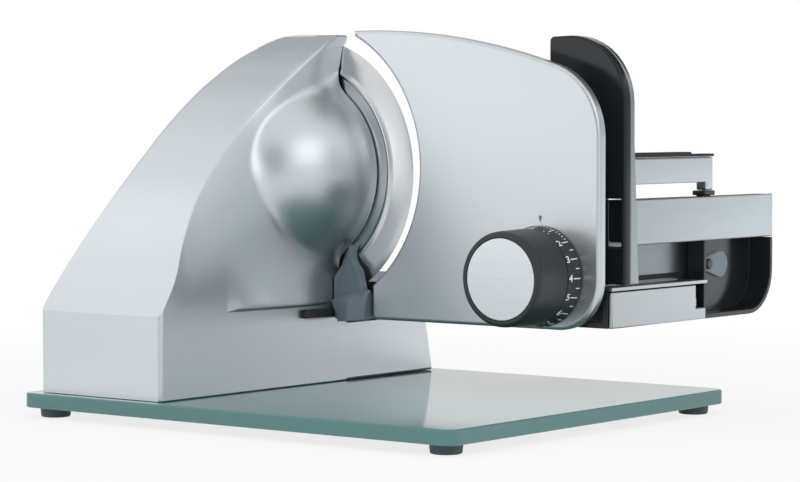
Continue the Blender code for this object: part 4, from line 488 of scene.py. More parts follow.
def turned(name, axis, centre, profile, sides):
    """A form turned about an axis; the profile is a list of (radius, place along the axis)."""
    form = bmesh.new()
    order = TURN_ORDER[axis]
    rings = []
    for radius, along in profile:
        ring = []
        for i in range(sides if radius > 0 else 1):
            turn = 2 * math.pi * i / sides
            place = [0.0, 0.0, 0.0]
            place[order[0]] = centre[0] + radius * math.cos(turn)
            place[order[1]] = centre[1] + radius * math.sin(turn)
            place[order[2]] = along
            ring.append(form.verts.new(spot(*place)))
        rings.append(ring)
    closed = profile[0][0] > 0
    pairs = list(zip(rings, rings[1:])) + ([(rings[-1], rings[0])] if closed else [])
    for one, two in pairs:
        for i in range(sides):
            j = (i + 1) % sides
            corners = [one[i % len(one)], one[j % len(one)], two[j % len(two)], two[i % len(two)]]
            form.faces.new(list(dict.fromkeys(corners)))
    return ease(to_object(name, form))


print("forms are turned about", " or ".join(TURN_ORDER))

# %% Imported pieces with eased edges
EDGE_SEGMENTS, EDGE_ANGLE, FLAT_ANGLE = 3, 38.0, 1.0
JOIN_GAP = 0.00001


def eased_copy(node, radius, look=None):
    """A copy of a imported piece: triangles joined back into faces, and its edges rounded."""
    form = bmesh.new()
    form.from_mesh(NODES[node].data)
    bmesh.ops.remove_doubles(form, verts=form.verts, dist=JOIN_GAP)
    bmesh.ops.dissolve_limit(form, angle_limit=math.radians(FLAT_ANGLE), verts=form.verts, edges=form.edges)
    piece = to_object(node + "_piece", form)
    round_off = piece.modifiers.new("eased_edges", "BEVEL")
    round_off.width = radius * MM
    round_off.segments = EDGE_SEGMENTS
    round_off.limit_method = "ANGLE"
    round_off.angle_limit = math.radians(EDGE_ANGLE)
    round_off.harden_normals = False
    stands_for(ease(piece), node, look)


print("edges sharper than", EDGE_ANGLE, "degrees are rounded")

# %% [markdown]
# ## Glass plate and feet
# The plate carries everything, and four rubber feet lift it off the worktop. A box with a Bevel modifier would
# round all its edges alike. Real glass has wide ground corners and a narrow polished rim, so it is drawn from an
# outline that has the corners, and the plate helper adds the rim. A foot is turned, as its mould was.

# %% Glass plate
GLASS_SIZE = (GLASS_HIGH - GLASS_LOW) / MM
GLASS_CORNER, GLASS_RIM = 8.0, 1.0

outline = rounded((0.0, 0.0), (GLASS_SIZE.x, GLASS_SIZE.y), GLASS_CORNER, 10)
glass = plate("glass_plate", "XY", -GLASS_SIZE.z, 0.0, outline, GLASS_RIM, GLASS_RIM, 4)
stands_for(glass, "glass_base")
print("glass plate", [round(v, 1) for v in GLASS_SIZE])

# %% Feet
# Round the foot's lower edge: how far in from its side, and how far up from its sole
FOOT_EDGE = [(0.5, 0.9), (0.8, 0.3), (1.5, 0.0), (4.0, 0.0), (4.4, 0.4)]
FOOT_SIDES = 48

for number in range(1, 5):
    node = f"rubber_foot_{number}"
    low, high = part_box(node)
    middle = (low + high) / 2 - CORNER
    radius = (high.x - low.x) / 2 / MM
    top = (high.z - CORNER.z) / MM
    bottom = (low.z - CORNER.z) / MM
    profile = [(0.0, top), (radius, top)]
    profile += [(radius - inset, bottom + rise) for inset, rise in FOOT_EDGE]
    profile += [(0.0, bottom + FOOT_EDGE[-1][1])]
    foot = turned(f"foot_{number}", "Z", (middle.x / MM, middle.y / MM), profile, FOOT_SIDES)
    stands_for(foot, node)
print("foot radius", round(radius, 1), "height", round(top - bottom, 1))

# %% [markdown]
# ## The housing
# The housing is one casting, and its shape is what makes the machine recognisable: a wall at the front, a roof
# that sweeps up to a tall fin, a dome over the gear, a flange round the hidden half of the blade, and a skirt
# under the dome. It is drawn as cross-sections along the machine, each a closed ring of points. The rings have
# the same number of points, and the same point lies on the roof's edge in all of them, so the edge stays crisp
# while dome and skirt melt into the side.

# %% Roof line
HOUSING_LEFT, HOUSING_RIGHT, HOUSING_FRONT = 9.4, 109.1, 8.2
WALL_TOP = 50.4
FIN_Y = 174.0
FRONT_CORNER = 3.0
BLADE_X, BLADE_Z = 79.8, 133.6
# Along the roof: run from the front, rise over the wall, inset of the left and of the right edge
ROOF = [
    (0.0, 0.0, 0.0, 0.0),
    (13.0, 20.6, 3.9, 0.4),
    (27.8, 43.6, 10.2, 7.0),
    (46.9, 67.6, 15.0, 13.4),
    (70.3, 91.6, 17.3, 16.4),
    (96.1, 116.6, 20.3, 15.2),
    (123.7, 141.6, 28.3, 6.6),
    (147.8, 160.6, 42.5, 0.0),
    (165.8, 170.2, 58.3, 0.0),
]
LAST_ROW = len(ROOF) - 1


def roof_length(row):
    """Length of the profile from one row to the next."""
    return math.dist(ROOF[row][:2], ROOF[row + 1][:2])


def roof_slope(row):
    """How fast the four columns change along the profile, from a parabola through three rows."""
    low, high = max(row - 1, 0), min(row, LAST_ROW - 1)
    before = (np.array(ROOF[low + 1]) - ROOF[low]) / roof_length(low)
    after = (np.array(ROOF[high + 1]) - ROOF[high]) / roof_length(high)
    return (before * roof_length(high) + after * roof_length(low)) / (roof_length(low) + roof_length(high))


def roof_at(position):
    """Smooth curve through the table's rows at a fractional row number."""
    row = min(int(position), LAST_ROW - 1)
    t = position - row
    length = roof_length(row)
    return (
        (2 * t**3 - 3 * t**2 + 1) * np.array(ROOF[row])
        + (t**3 - 2 * t**2 + t) * length * roof_slope(row)
        + (-2 * t**3 + 3 * t**2) * np.array(ROOF[row + 1])
        + (t**3 - t**2) * length * roof_slope(row + 1)
    )


print("roof rises to", WALL_TOP + ROOF[-1][1], "over", ROOF[-1][0])

# %% [markdown]
# On the left the casting swells out into the flange that covers the hidden half of the blade. It is a quarter of
# an ellipse turned about the blade's axis. Where it meets the flat side, the larger of the two wins, and the
# change-over is rounded, as a pattern maker would fill the corner with wax.

# %% The left side
FLANGE_RADIUS, FLANGE_DEPTH = 87.7, 28.0
FLANGE_BLEND, FLANGE_FALL = 6.0, 4.0


def soft_max(a, b, width):
    """The larger of two, with the change-over rounded."""
    near = np.maximum(width - np.abs(a - b), 0.0) / width
    return np.maximum(a, b) + near * near * width / 4


def flange_reach(y, z):
    """How far the flange stands out at height z; negative above and below it."""
    share = np.clip((FIN_Y - y) / FLANGE_DEPTH, 0.0, 1.0)
    size = FLANGE_RADIUS * math.sqrt(1.0 - share * share)
    away = np.abs(z - BLADE_Z)
    inside = np.sqrt(np.maximum(size * size - away * away, 0.0))
    return np.where(away < size, inside, -(away - size) * FLANGE_FALL)


def left_side(y, z, body):
    """Where the left side is, with the flange."""
    return -soft_max(-body, -(BLADE_X - flange_reach(y, z)), FLANGE_BLEND)


print("flange reaches", round(float(flange_reach(FIN_Y, BLADE_Z)), 1))

# %% [markdown]
# The dome on the right doesn't stand on the side like a bowl on a table: the metal flows from one into the other.
# A smooth union does the same. For each height the script looks for the point where the distance to the flat side
# and the distance to the dome, mixed over a few millimetres, come to nothing. It finds it by halving a stretch.

# %% The right side, with dome and skirt
DOME_RADIUS, DOME_DEPTH = 60.0, 73.0
DOME_BLEND, LEAST_BLEND, ROOF_ROOM = 8.0, 0.2, 34.0
SKIRT_ROWS = (3.5, 7.5)
SKIRT_REACH, SKIRT_HEIGHT = 8.5, 40.0
# The search for the side runs from just inside the flat of it to just past the dome
SEARCH_INSIDE, SEARCH_PAST, HALVINGS = 0.5, 2.0, 26


def dome_gap(x, y, z):
    """How far a point is from the dome, which is a quarter of an ellipsoid; negative inside."""
    across = (x - BLADE_X) / DOME_RADIUS
    up = (z - BLADE_Z) / DOME_RADIUS
    ahead = max(FIN_Y - y, 0.0) / DOME_DEPTH
    far = np.sqrt(across**2 + up**2 + ahead**2)
    steep = np.sqrt((across**2 + up**2) / DOME_RADIUS**2 + ahead**2 / DOME_DEPTH**2)
    return far * (far - 1.0) / np.maximum(steep, 0.0001)


def skirt_reach(position):
    """How far the skirt stands out at its foot."""
    t = (position - SKIRT_ROWS[0]) / (SKIRT_ROWS[1] - SKIRT_ROWS[0])
    return SKIRT_REACH * math.sin(math.pi * t) if 0.0 < t < 1.0 else 0.0


def right_side(position, y, z, body):
    """Where the side is, with skirt and dome: the change-over narrows towards the roof's edge."""
    flare = np.clip(1.0 - (z - z[0]) / SKIRT_HEIGHT, 0.0, 1.0)
    body = body + skirt_reach(position) * flare**2
    room = np.clip((z[-1] - z) / ROOF_ROOM, 0.0, 1.0)
    width = LEAST_BLEND + DOME_BLEND * room * room * (3.0 - 2.0 * room)
    low, high = body - SEARCH_INSIDE, np.full_like(body, BLADE_X + DOME_RADIUS + SEARCH_PAST)
    for _ in range(HALVINGS):
        x = (low + high) / 2
        side, dome = x - body, dome_gap(x, y, z)
        share = np.clip(0.5 + 0.5 * (dome - side) / width, 0.0, 1.0)
        inside = dome + (side - dome) * share - width * share * (1.0 - share) < 0.0
        low, high = np.where(inside, x, low), np.where(inside, high, x)
    return high


print("dome radius", DOME_RADIUS, "found to", round(DOME_RADIUS / 2**HALVINGS, 7))

# %% [markdown]
# A cross-section is walked round anticlockwise as seen from the front: up the right side, past the skirt's ledge
# with its rolled lip, over the rounded edges of the roof, and down the left side.

# %% A rounded corner
BEND_POINTS = 5


def bend(corner, before, after, size):
    """A small curve round a corner, between its two neighbours."""
    corner, before, after = (np.array(p) for p in (corner, before, after))
    down = before - corner
    across = after - corner
    a = corner + down * min(size / max(np.linalg.norm(down), 0.001), 0.5)
    b = corner + across * min(size / max(np.linalg.norm(across), 0.001), 0.5)
    turns = [i / BEND_POINTS for i in range(BEND_POINTS + 1)]
    return [(1 - t) ** 2 * a + 2 * t * (1 - t) * corner + t * t * b for t in turns]


def softened(outline, radius):
    """Round every corner of a closed outline."""
    soft = []
    for before, corner, after in zip(outline[-1:] + outline[:-1], outline, outline[1:] + outline[:1]):
        soft += [tuple(p) for p in bend(corner, before, after, radius)]
    return soft


print("points in a corner:", BEND_POINTS + 1)

# %% One cross-section
SIDE_POINTS, ROOF_POINTS = 56, 14
CREASE, CREASE_SHARE = 3.0, 0.3
FOOT_Z, CHAMFER = 0.3, 0.5
LOW_ROWS = (0.8, 20.0, 37.8, 38.0)
LEDGE_Z, LEDGE_EASE, LIP = 50.0, 0.3, 2.6


def section(position):
    """The ring of points at a fractional row number of the roof."""
    run, rise, left_inset, right_inset = roof_at(position)
    y = HOUSING_FRONT + run
    short = max(FRONT_CORNER - run, 0.0)
    inset = FRONT_CORNER - math.sqrt(FRONT_CORNER**2 - short**2)
    left, right = HOUSING_LEFT + inset, HOUSING_RIGHT - inset
    reach = skirt_reach(position)
    lip = LIP * min(reach / LIP, 1.0)
    ring = [(right - CHAMFER, FOOT_Z)] + [(right, z) for z in LOW_ROWS]
    ring += [(right, LEDGE_Z - LEDGE_EASE), (right + (reach - lip) * 0.5, LEDGE_Z)]
    ring += arc((right + reach - lip, LEDGE_Z + lip), lip, -90, -12, 6) if lip else [(right, LEDGE_Z)] * 7
    s = np.linspace(0.0, 1.0, SIDE_POINTS)
    foot = WALL_TOP + lip
    right_z = foot + (rise - lip) * s if rise > lip else foot + rise * s
    share = (right_z - WALL_TOP) / max(rise, 0.001)
    side = right_side(position, y, right_z, right - right_inset * share**2)
    z = WALL_TOP + rise * s
    west = left_side(y, z, left + left_inset * s * s)
    size = min(CREASE, CREASE_SHARE * rise)
    right_line = list(zip(side, right_z))
    left_line = list(zip(west, z))
    ring += right_line[:-1]
    top_right, top_left = right_line[-1], left_line[-1]
    ring += bend(top_right, right_line[-2], top_left, size)
    for i in range(1, ROOF_POINTS):
        t = i / ROOF_POINTS
        ring.append((top_right[0] + (top_left[0] - top_right[0]) * t, top_right[1]))
    ring += bend(top_left, top_right, left_line[-2], size)
    ring += left_line[:-1][::-1]
    ring += [(left, z) for z in LOW_ROWS[::-1]] + [(left + CHAMFER, FOOT_Z)]
    return [(p[0], y, p[1]) for p in ring]


print("points in a section:", len(section(4.0)))

# %% [markdown]
# The casting ends in a hollow that the blade turns in, so the blade's profile comes first: it decides how far
# back the casting may reach. Outside the hollow its skin runs on to the fin's edge and to the dome's rim.

# %% The blade's profile and the casting's end
# From the blade's axis outwards on the front, and back in on the rear: radius and place along the axis
BLADE = [
    (0.0, 176.6), (56.0, 176.6), (65.6, 176.6), (66.8, 176.45), (67.7, 176.0), (68.4, 175.7), (69.1, 175.8),
    (70.2, 176.3), (71.6, 176.75), (75.0, 177.25), (80.0, 178.25), (82.6, 178.85), (84.9, 179.68), (85.0, 179.85),
    (84.9, 180.0), (66.0, 180.0), (64.0, 179.9), (58.0, 178.75), (56.0, 178.6), (0.0, 178.6),
]
BLADE_FRONT = BLADE[:14]
FIN_END = 184.0
FIN_TAPER_FROM, FIN_TAPER_RATE = 197.0, 0.424
FIN_SKIN, FIN_SKIN_LEFT = 2.5, 62.0
RIGHT_SKIN = HOUSING_RIGHT - 3.0
DOME_BACK, DOME_RIM, DOME_RIM_WIDTH = 175.8, 61.0, 3.0
RECESS = 86.2
BLADE_CLEARANCE = 0.7


def blade_front(radius):
    """Where the blade's front is at a distance from its axis."""
    return float(np.interp(radius, [r for r, _ in BLADE_FRONT], [y for _, y in BLADE_FRONT]))


def fin_end(x, z):
    """How far back the casting's skin reaches at a point of its last section."""
    away = math.hypot(x - BLADE_X, z - BLADE_Z)
    end = FIN_Y
    if x > RIGHT_SKIN and z > FIN_TAPER_FROM:
        end = FIN_Y + (z - FIN_TAPER_FROM) * FIN_TAPER_RATE
    elif z > WALL_TOP + ROOF[-1][1] - FIN_SKIN and x > FIN_SKIN_LEFT:
        end = FIN_END
    elif x > RIGHT_SKIN and z > WALL_TOP:
        past_rim = min(max((away - DOME_RIM) / DOME_RIM_WIDTH, 0.0), 1.0)
        end = DOME_BACK - (DOME_BACK - FIN_Y) * past_rim
    if away < RECESS:
        end = min(end, blade_front(away) - BLADE_CLEARANCE)
    return end


print("casting clears the blade's edge by", round(RECESS - max(radius for radius, _ in BLADE), 2))

# %% The housing's mesh
CORNER_RINGS, ROOF_RINGS = 8, 132
# The last rings round the casting's end: how far they are pulled in, and how far they stand back from it
END_RIM = ((0.0, 1.2), (0.35, 0.35), (1.2, 0.0))
END_WALL = 1.4
BURIED_END, HOLLOW_FLOOR = FIN_Y + 8.0, FIN_Y - 0.5
SAME_POINT, NO_LENGTH = 0.00002, 0.00001


def end_rings(last):
    """The rounded rim behind the last cross-section, and the wall of the blade's hollow."""
    ends = [fin_end(x, z) for x, y, z in last]
    rings = []
    for pull, back in END_RIM:
        ring = []
        for (x, y, z), end in zip(last, ends):
            out = Vector((x - BLADE_X, z - BLADE_Z)).normalized()
            if z < LOW_ROWS[-1]:
                ring.append((x, BURIED_END, z))
            else:
                ring.append((x - out.x * pull, max(end - back, FIN_Y - back), z - out.y * pull))
        rings.append(ring)
    inner = []
    for x, y, z in last:
        out = Vector((x - BLADE_X, z - BLADE_Z))
        reach = min(out.length - END_WALL, RECESS)
        inner.append((BLADE_X + out.normalized().x * reach, BLADE_Z + out.normalized().y * reach))
    rings.append([(x, end, z) for (x, z), end in zip(inner, ends)])
    rings.append([(x, HOLLOW_FLOOR, z) for x, z in inner])
    return rings


def housing_mesh():
    """All cross-sections from the front to the casting's end, joined ring by ring."""
    first = FRONT_CORNER / ROOF[1][0]
    positions = [first * (1 - math.cos(math.pi / 2 * i / CORNER_RINGS)) for i in range(CORNER_RINGS)]
    positions += [first + (LAST_ROW - first) * i / ROOF_RINGS for i in range(ROOF_RINGS + 1)]
    rings = [section(p) for p in positions]
    rings += end_rings(rings[-1])
    form = bmesh.new()
    join_rings(form, [[form.verts.new(spot(*point)) for point in ring] for ring in rings])
    bmesh.ops.remove_doubles(form, verts=form.verts, dist=SAME_POINT)
    bmesh.ops.dissolve_degenerate(form, dist=NO_LENGTH, edges=form.edges)
    return form


housing = to_object("housing", housing_mesh())
stands_for(ease(housing, angle=27.0), "housing_shell")
print("housing faces:", len(housing.data.polygons), "box", [round(v, 3) for v in housing.dimensions])

# %% [markdown]
# Two more forms belong to the casting. Behind the fin a low block carries the beam, and a flange stands round the
# hidden half of the blade. Both are simple, so they are drawn on their own and pushed into the lofted form.

# %% Rear block
REAR = [(165.0, 0.3), (273.0, 0.3), (269.0, 20.0), (265.7, 34.0), (263.5, 38.0), (165.0, 38.0)]
REAR_INSET, REAR_CORNER, REAR_RIM = 0.05, 1.6, 1.4

rear = plate("rear_block", "YZ", HOUSING_LEFT + REAR_INSET, HOUSING_RIGHT - REAR_INSET,
             softened(REAR, REAR_CORNER), REAR_RIM, REAR_RIM)
dress(rear, LOOKS["silver_casting"], "base")
print("rear block faces:", len(rear.data.polygons))

# %% Flange round the blade
# Round its cross-section: radius and place along the blade's axis
FLANGE_SECTION = [
    (FLANGE_RADIUS, 173.2), (FLANGE_RADIUS, 181.7), (FLANGE_RADIUS - 0.3, 182.0), (RECESS + 0.3, 182.0),
    (RECESS, 181.7), (RECESS, 173.2),
]
FLANGE_FROM, FLANGE_TO, FLANGE_STEPS = 70.6, 289.4, 90

form = bmesh.new()
rows = []
for radius, y in FLANGE_SECTION:
    line = arc((BLADE_X, BLADE_Z), radius, FLANGE_FROM, FLANGE_TO, FLANGE_STEPS)
    rows.append([form.verts.new(spot(x, y, z)) for x, z in line])
for one, two in zip(rows, rows[1:] + rows[:1]):
    for i in range(FLANGE_STEPS):
        form.faces.new((one[i], one[i + 1], two[i + 1], two[i]))
form.faces.new([row[0] for row in rows])
form.faces.new([row[-1] for row in rows])
flange = ease(to_object("blade_flange", form))
dress(flange, LOOKS["silver_casting"], "base")
print("flange faces:", len(flange.data.polygons))

# %% [markdown]
# ## The blade
# The blade is a dished steel disc, ground on the side that faces the slices. The ridge that keeps the slice off
# the disc, the ground cone and the fine bevel at the edge each reflect a different part of the room. A lathe makes
# all of them in one pass, and so does the turned profile. Its edges stay sharp from a few degrees on.

# %% Blade
BLADE_SIDES = 192

steel_disc = turned("blade_disc", "Y", (BLADE_X, BLADE_Z), BLADE, BLADE_SIDES)
stands_for(ease(steel_disc, angle=8.0), "blade")
print("blade faces:", len(steel_disc.data.polygons))

# %% [markdown]
# ## The stop plate
# The stop plate sets the slice. It is a flat casting with a bowed top and a rim rounded like a river pebble, and
# a throat that clears the blade. Only the rim is curved, so the plate is made from its outline and the rim from
# rings that step in and down along a quarter circle.

# %% Stop plate outline
PLATE_LEFT, PLATE_TOP_LEFT, PLATE_RIGHT = 136.7, 122.2, 309.0
PLATE_LOW, PLATE_TOP = 40.8, 222.9
LOW_LEFT_CORNER, LOW_RIGHT_CORNER, TOP_CORNER = 4.0, 30.5, 46.0
CROWN_X, CROWN_RADIUS = 130.0, 480.0
THROAT, THROAT_RADIUS = (BLADE_X + 2.2, BLADE_Z + 3.0), 92.0


def stop_plate_outline():
    """Two low corners, the top corner, the bowed top and the throat, anticlockwise from the low left."""
    crown = (CROWN_X, PLATE_TOP - CROWN_RADIUS)
    corner_x = PLATE_RIGHT - TOP_CORNER
    lever = CROWN_RADIUS - TOP_CORNER
    corner_z = crown[1] + math.sqrt(lever**2 - (corner_x - crown[0]) ** 2)
    meet = math.degrees(math.atan2(corner_z - crown[1], corner_x - crown[0]))
    top_left = math.degrees(math.acos((PLATE_TOP_LEFT - crown[0]) / CROWN_RADIUS))
    first = -math.degrees(math.acos((PLATE_LEFT - THROAT[0]) / THROAT_RADIUS))
    final = math.degrees(math.acos((PLATE_TOP_LEFT - THROAT[0]) / THROAT_RADIUS))
    low_left = (PLATE_LEFT + LOW_LEFT_CORNER, PLATE_LOW + LOW_LEFT_CORNER)
    low_right = (PLATE_RIGHT - LOW_RIGHT_CORNER, PLATE_LOW + LOW_RIGHT_CORNER)
    return (
        arc(low_left, LOW_LEFT_CORNER, 180, 270, 8)
        + arc(low_right, LOW_RIGHT_CORNER, -90, 0, 28)
        + arc((corner_x, corner_z), TOP_CORNER, 0, meet, 28)
        + arc(crown, CROWN_RADIUS, meet, top_left, 30)[1:]
        + arc(THROAT, THROAT_RADIUS, final, first, 60)
    )


print("points in the outline:", len(stop_plate_outline()))

# %% Stop plate
PLATE_FRONT, PLATE_BACK = 173.0, 180.0
PLATE_RIMS = (2.4, 0.8)

stop = plate("stop_plate_piece", "XZ", PLATE_FRONT, PLATE_BACK, stop_plate_outline(), *PLATE_RIMS, 6)
stands_for(stop, "stop_plate")
print("stop plate faces:", len(stop.data.polygons))

# %% [markdown]
# ## The dial
# The dial is a black drum with a silver disc let into its end, a fine groove, and a scale ring with the slice
# thickness from 0 to 15. The numbers are printed white. Text is drawn flat, turned into a mesh, and each of its
# points is then wrapped round the ring.

# %% Drum and disc
DIAL_X, DIAL_Z = 266.5, 72.7
DIAL_BACK = 172.7
DIAL_SIDES = 160
# Radius and place along the axis: forwards over scale ring, groove and grip, then back through the hollow
DIAL = [
    (30.6, DIAL_BACK), (30.6, 171.6), (28.95, 161.6), (28.7, 161.3), (28.3, 161.2), (27.7, 161.2), (27.5, 161.0),
    (27.5, 160.4), (27.7, 160.2), (28.8, 160.2), (29.2, 159.8), (29.2, 159.0), (28.55, 136.0), (28.35, 134.0),
    (27.9, 132.8), (27.1, 132.15), (26.2, 132.0), (24.9, 132.0), (24.8, 132.1), (24.8, 133.5), (0.0, 133.5),
    (0.0, 136.5), (26.4, 136.5), (26.4, DIAL_BACK),
]
axis_first = DIAL.index((0.0, 136.5))
drum = turned("dial_drum", "Y", (DIAL_X, DIAL_Z), DIAL[axis_first:] + DIAL[:axis_first], DIAL_SIDES)
stands_for(drum, "dial_knob")
FACE = [(0.0, 133.2), (24.5, 133.2), (24.5, 132.5), (24.3, 132.15), (23.8, 132.0), (0.0, 132.0)]
disc = turned("dial_face", "Y", (DIAL_X, DIAL_Z), FACE, DIAL_SIDES)
stands_for(disc, "dial_disc")
print("dial faces:", len(drum.data.polygons) + len(disc.data.polygons))

# %% Marks on the scale ring
SCALE_LOW, SCALE_HIGH = (161.6, 28.95), (171.6, 30.6)
INK, SUNK, BOLDER = 0.06, 0.02, 0.07
TICK_END = 170.9


def wrap(form, points, faces, angle, along):
    """Lay flat drawing points round the ring: x runs towards the plate, y round the ring, z outwards."""
    made = []
    for x, y, z in points:
        share = (along + x - SCALE_LOW[0]) / (SCALE_HIGH[0] - SCALE_LOW[0])
        radius = SCALE_LOW[1] + (SCALE_HIGH[1] - SCALE_LOW[1]) * share - SUNK
        turn = math.radians(angle) + y / radius
        made.append(form.verts.new(spot(DIAL_X + (radius + z) * math.cos(turn), along + x,
                                        DIAL_Z + (radius + z) * math.sin(turn))))
    for face in faces:
        form.faces.new([made[i] for i in face])


def number_mesh(text, height):
    """A flat number, made bolder than the typeface."""
    curve = bpy.data.curves.new("number", "FONT")
    curve.body = text
    curve.size = height
    curve.extrude = INK
    curve.offset = BOLDER
    curve.align_x = "RIGHT"
    curve.align_y = "CENTER"
    holder = bpy.data.objects.new("number", curve)
    scene.collection.objects.link(holder)
    bpy.context.view_layer.update()
    mesh = bpy.data.meshes.new_from_object(holder.evaluated_get(bpy.context.evaluated_depsgraph_get()))
    bpy.data.objects.remove(holder)
    return mesh


def tick(form, angle, length, half):
    """A line along the ring, of this length and half width."""
    corners = [(-length, -half), (0.0, -half), (0.0, half), (-length, half)]
    solid = [(x, y, 0.0) for x, y in corners] + [(x, y, 2 * INK) for x, y in corners]
    sides = [(0, 1, 5, 4), (1, 2, 6, 5), (2, 3, 7, 6), (3, 0, 4, 7), (3, 2, 1, 0), (4, 5, 6, 7)]
    wrap(form, solid, sides, angle, TICK_END)


print("scale ring is", SCALE_HIGH[0] - SCALE_LOW[0], "wide")

# %% Numbers and ticks
LAST_NUMBER = 15
STEP = 22.5
FIGURE_SIZE, FIGURE_WIDEN, FIGURE_END = 5.9, 1.12, 164.9
LONG_TICK, SHORT_TICK, FINE_TICK = 5.4, 3.0, 1.5
LONG_HALF, SHORT_HALF = 0.34, 0.30
MARK_GAP = 0.000001
# Parts between a number and the next: thin slices are set more finely
FINE_UP_TO, FINE_PARTS, PARTS = 2, 5, 2

form = bmesh.new()
for number in range(LAST_NUMBER + 1):
    angle = 90.0 - STEP * number
    mesh = number_mesh(str(number), FIGURE_SIZE)
    points = [(vertex.co.x * FIGURE_WIDEN, vertex.co.y, vertex.co.z) for vertex in mesh.vertices]
    wrap(form, points, [tuple(face.vertices) for face in mesh.polygons], angle, FIGURE_END)
    tick(form, angle, LONG_TICK, LONG_HALF)
    if number < LAST_NUMBER:
        parts, length = (FINE_PARTS, FINE_TICK) if number < FINE_UP_TO else (PARTS, SHORT_TICK)
        for k in range(1, parts):
            tick(form, angle - STEP * k / parts, length, SHORT_HALF)
bmesh.ops.remove_doubles(form, verts=form.verts, dist=MARK_GAP)
marks = to_object("dial_marks", form)
dress(marks, WHITE_PRINT, "dial")
print("dial marks:", len(marks.data.polygons), "faces")

# %% [markdown]
# A small drop-shaped mark on the stop plate points at the number that is set. It is printed, so it stands only a
# few hundredths of a millimetre above the plate.

# %% Pointer on the stop plate
POINTER = (266.5, 106.6)
DROP_RISE, DROP_RADIUS, DROP_TIP = 1.7, 1.15, 1.6
PRINT_DEPTH = 0.3

drop = arc((POINTER[0], POINTER[1] + DROP_RISE), DROP_RADIUS, -20, 200, 10)
drop += [(POINTER[0], POINTER[1] - DROP_TIP)]
pointer = plate("dial_pointer", "XZ", PLATE_FRONT - INK, PLATE_FRONT + PRINT_DEPTH, drop)
dress(pointer, GUARD_SKIN, BODY_OF["stop_plate"])
print("pointer height:", round(pointer.dimensions.z / MM, 2))

# %% [markdown]
# ## The pusher
# The pusher presses the end of the food against the blade, so it has a tall shield of gloss black plastic with a
# metal plate behind it that grows thicker towards its foot. The shield's rim mirrors the lamps, so it is drawn
# anew with a fine rounding. The pieces behind it are plain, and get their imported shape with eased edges.

# %% Shield outline
SHIELD_LEFT, SHIELD_WIDE_LEFT, SHIELD_RIGHT = 256.7, 190.0, 312.2
SHIELD_LOW, SHIELD_TOP, WIDE_TOP = 68.0, 217.7, 150.0
NOTCH_LEFT, NOTCH_RIGHT, SLOT_RIGHT = 292.3, 308.6, 296.1
NOTCH_LOW, NOTCH_TOP = 90.3, 119.4
RIGHT_SHOULDER, LEFT_CORNER, LEFT_DROP, WIDE_SHOULDER = 41.0, 3.0, 0.4, 20.0


def shield_outline():
    """Anticlockwise from the notch that rides over the carriage's wall."""
    outline = [(NOTCH_LEFT, SHIELD_LOW), (NOTCH_LEFT, NOTCH_TOP), (NOTCH_RIGHT, NOTCH_TOP)]
    outline += [(NOTCH_RIGHT, NOTCH_LOW), (SLOT_RIGHT, NOTCH_LOW), (SLOT_RIGHT, SHIELD_LOW)]
    outline += [(SHIELD_RIGHT, SHIELD_LOW)]
    outline += arc((SHIELD_RIGHT - RIGHT_SHOULDER, SHIELD_TOP - RIGHT_SHOULDER), RIGHT_SHOULDER, 0, 90, 24)
    outline += arc((SHIELD_LEFT + LEFT_CORNER, SHIELD_TOP - LEFT_CORNER - LEFT_DROP), LEFT_CORNER, 96, 180, 5)
    outline += [(SHIELD_LEFT, WIDE_TOP)]
    outline += arc((SHIELD_WIDE_LEFT + WIDE_SHOULDER, WIDE_TOP - WIDE_SHOULDER), WIDE_SHOULDER, 90, 180, 10)
    outline += [(SHIELD_WIDE_LEFT, SHIELD_LOW)]
    return outline


print("points in the outline:", len(shield_outline()))

# %% Shield, backing plate, arm and slider
SHIELD_FRONT, SHIELD_BACK = 196.0, 202.0
SHIELD_RIMS = (1.6, 0.8)

shield = plate("pusher_shield", "XZ", SHIELD_FRONT, SHIELD_BACK, shield_outline(), *SHIELD_RIMS, 4)
stands_for(shield, "pusher_face")
# The backing plate and the arm take darker copies of the sheet finish: painted shade
eased_copy("pusher_back", 0.8, DARK_SHADED_SHEET)
eased_copy("pusher_arm", 0.7, ARM_SHADED_BAR)
eased_copy("pusher_arm_cap", 0.5, SLOT_SHADE_AND_CAP_BLACK)
eased_copy("pusher_slider", 0.4)
print("pusher shield faces:", len(shield.data.polygons))

# %% [markdown]
# ## Carriage, beam and guard
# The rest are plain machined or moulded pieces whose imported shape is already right. What they lack is the small
# radius that every real edge has, and that is what catches the light.

# %% Plain pieces with eased edges
EASED = {
    # node: (edge radius, finish of its own or None)
    # The shaded sheet finishes on tray, wall, band and end cap are painted shade
    "food_tray": (0.15, CAP_SHADED_SHEET),
    "carriage_wall": (0.3, WALL_SHADED_SHEET),
    "rail_beam": (0.5, None),
    "rail_band": (0.5, GREY_SHADED_SHEET),
    "carriage_end_shell": (0.5, None),
    "lever_pin": (0.2, LOOKS["gloss_black_plastic"]),
    "carriage_runner": (0.4, None),
    "carriage_lever": (0.5, GUARD_SKIN),
    "guide_beam": (0.5, None),
    "beam_end_cap": (0.5, CAP_SHADED_SHEET),
    "channel_stop_screw": (0.2, None),
    "switch_button": (0.4, None),
    "cord_inlet": (0.4, None),
    "blade_lock": (0.3, None),
}
for node, (radius, look) in EASED.items():
    eased_copy(node, radius, look)
print("eased pieces:", len(EASED))

# %% [markdown]
# A long slot runs along the carriage's wall on the side that the operator sees. It is shallow and its inside lies
# in shade, so a thin black inlay with rounded corners stands in for that shade: it is painted shade.

# %% Slot in the wall, as painted shade
SLOT_OUTER, SLOT_INNER = 295.46, 294.4
SLOT_FROM, SLOT_TO = (210.0, 68.2), (284.0, 71.5)
SLOT_CORNER, SLOT_RIM = 0.8, 0.2
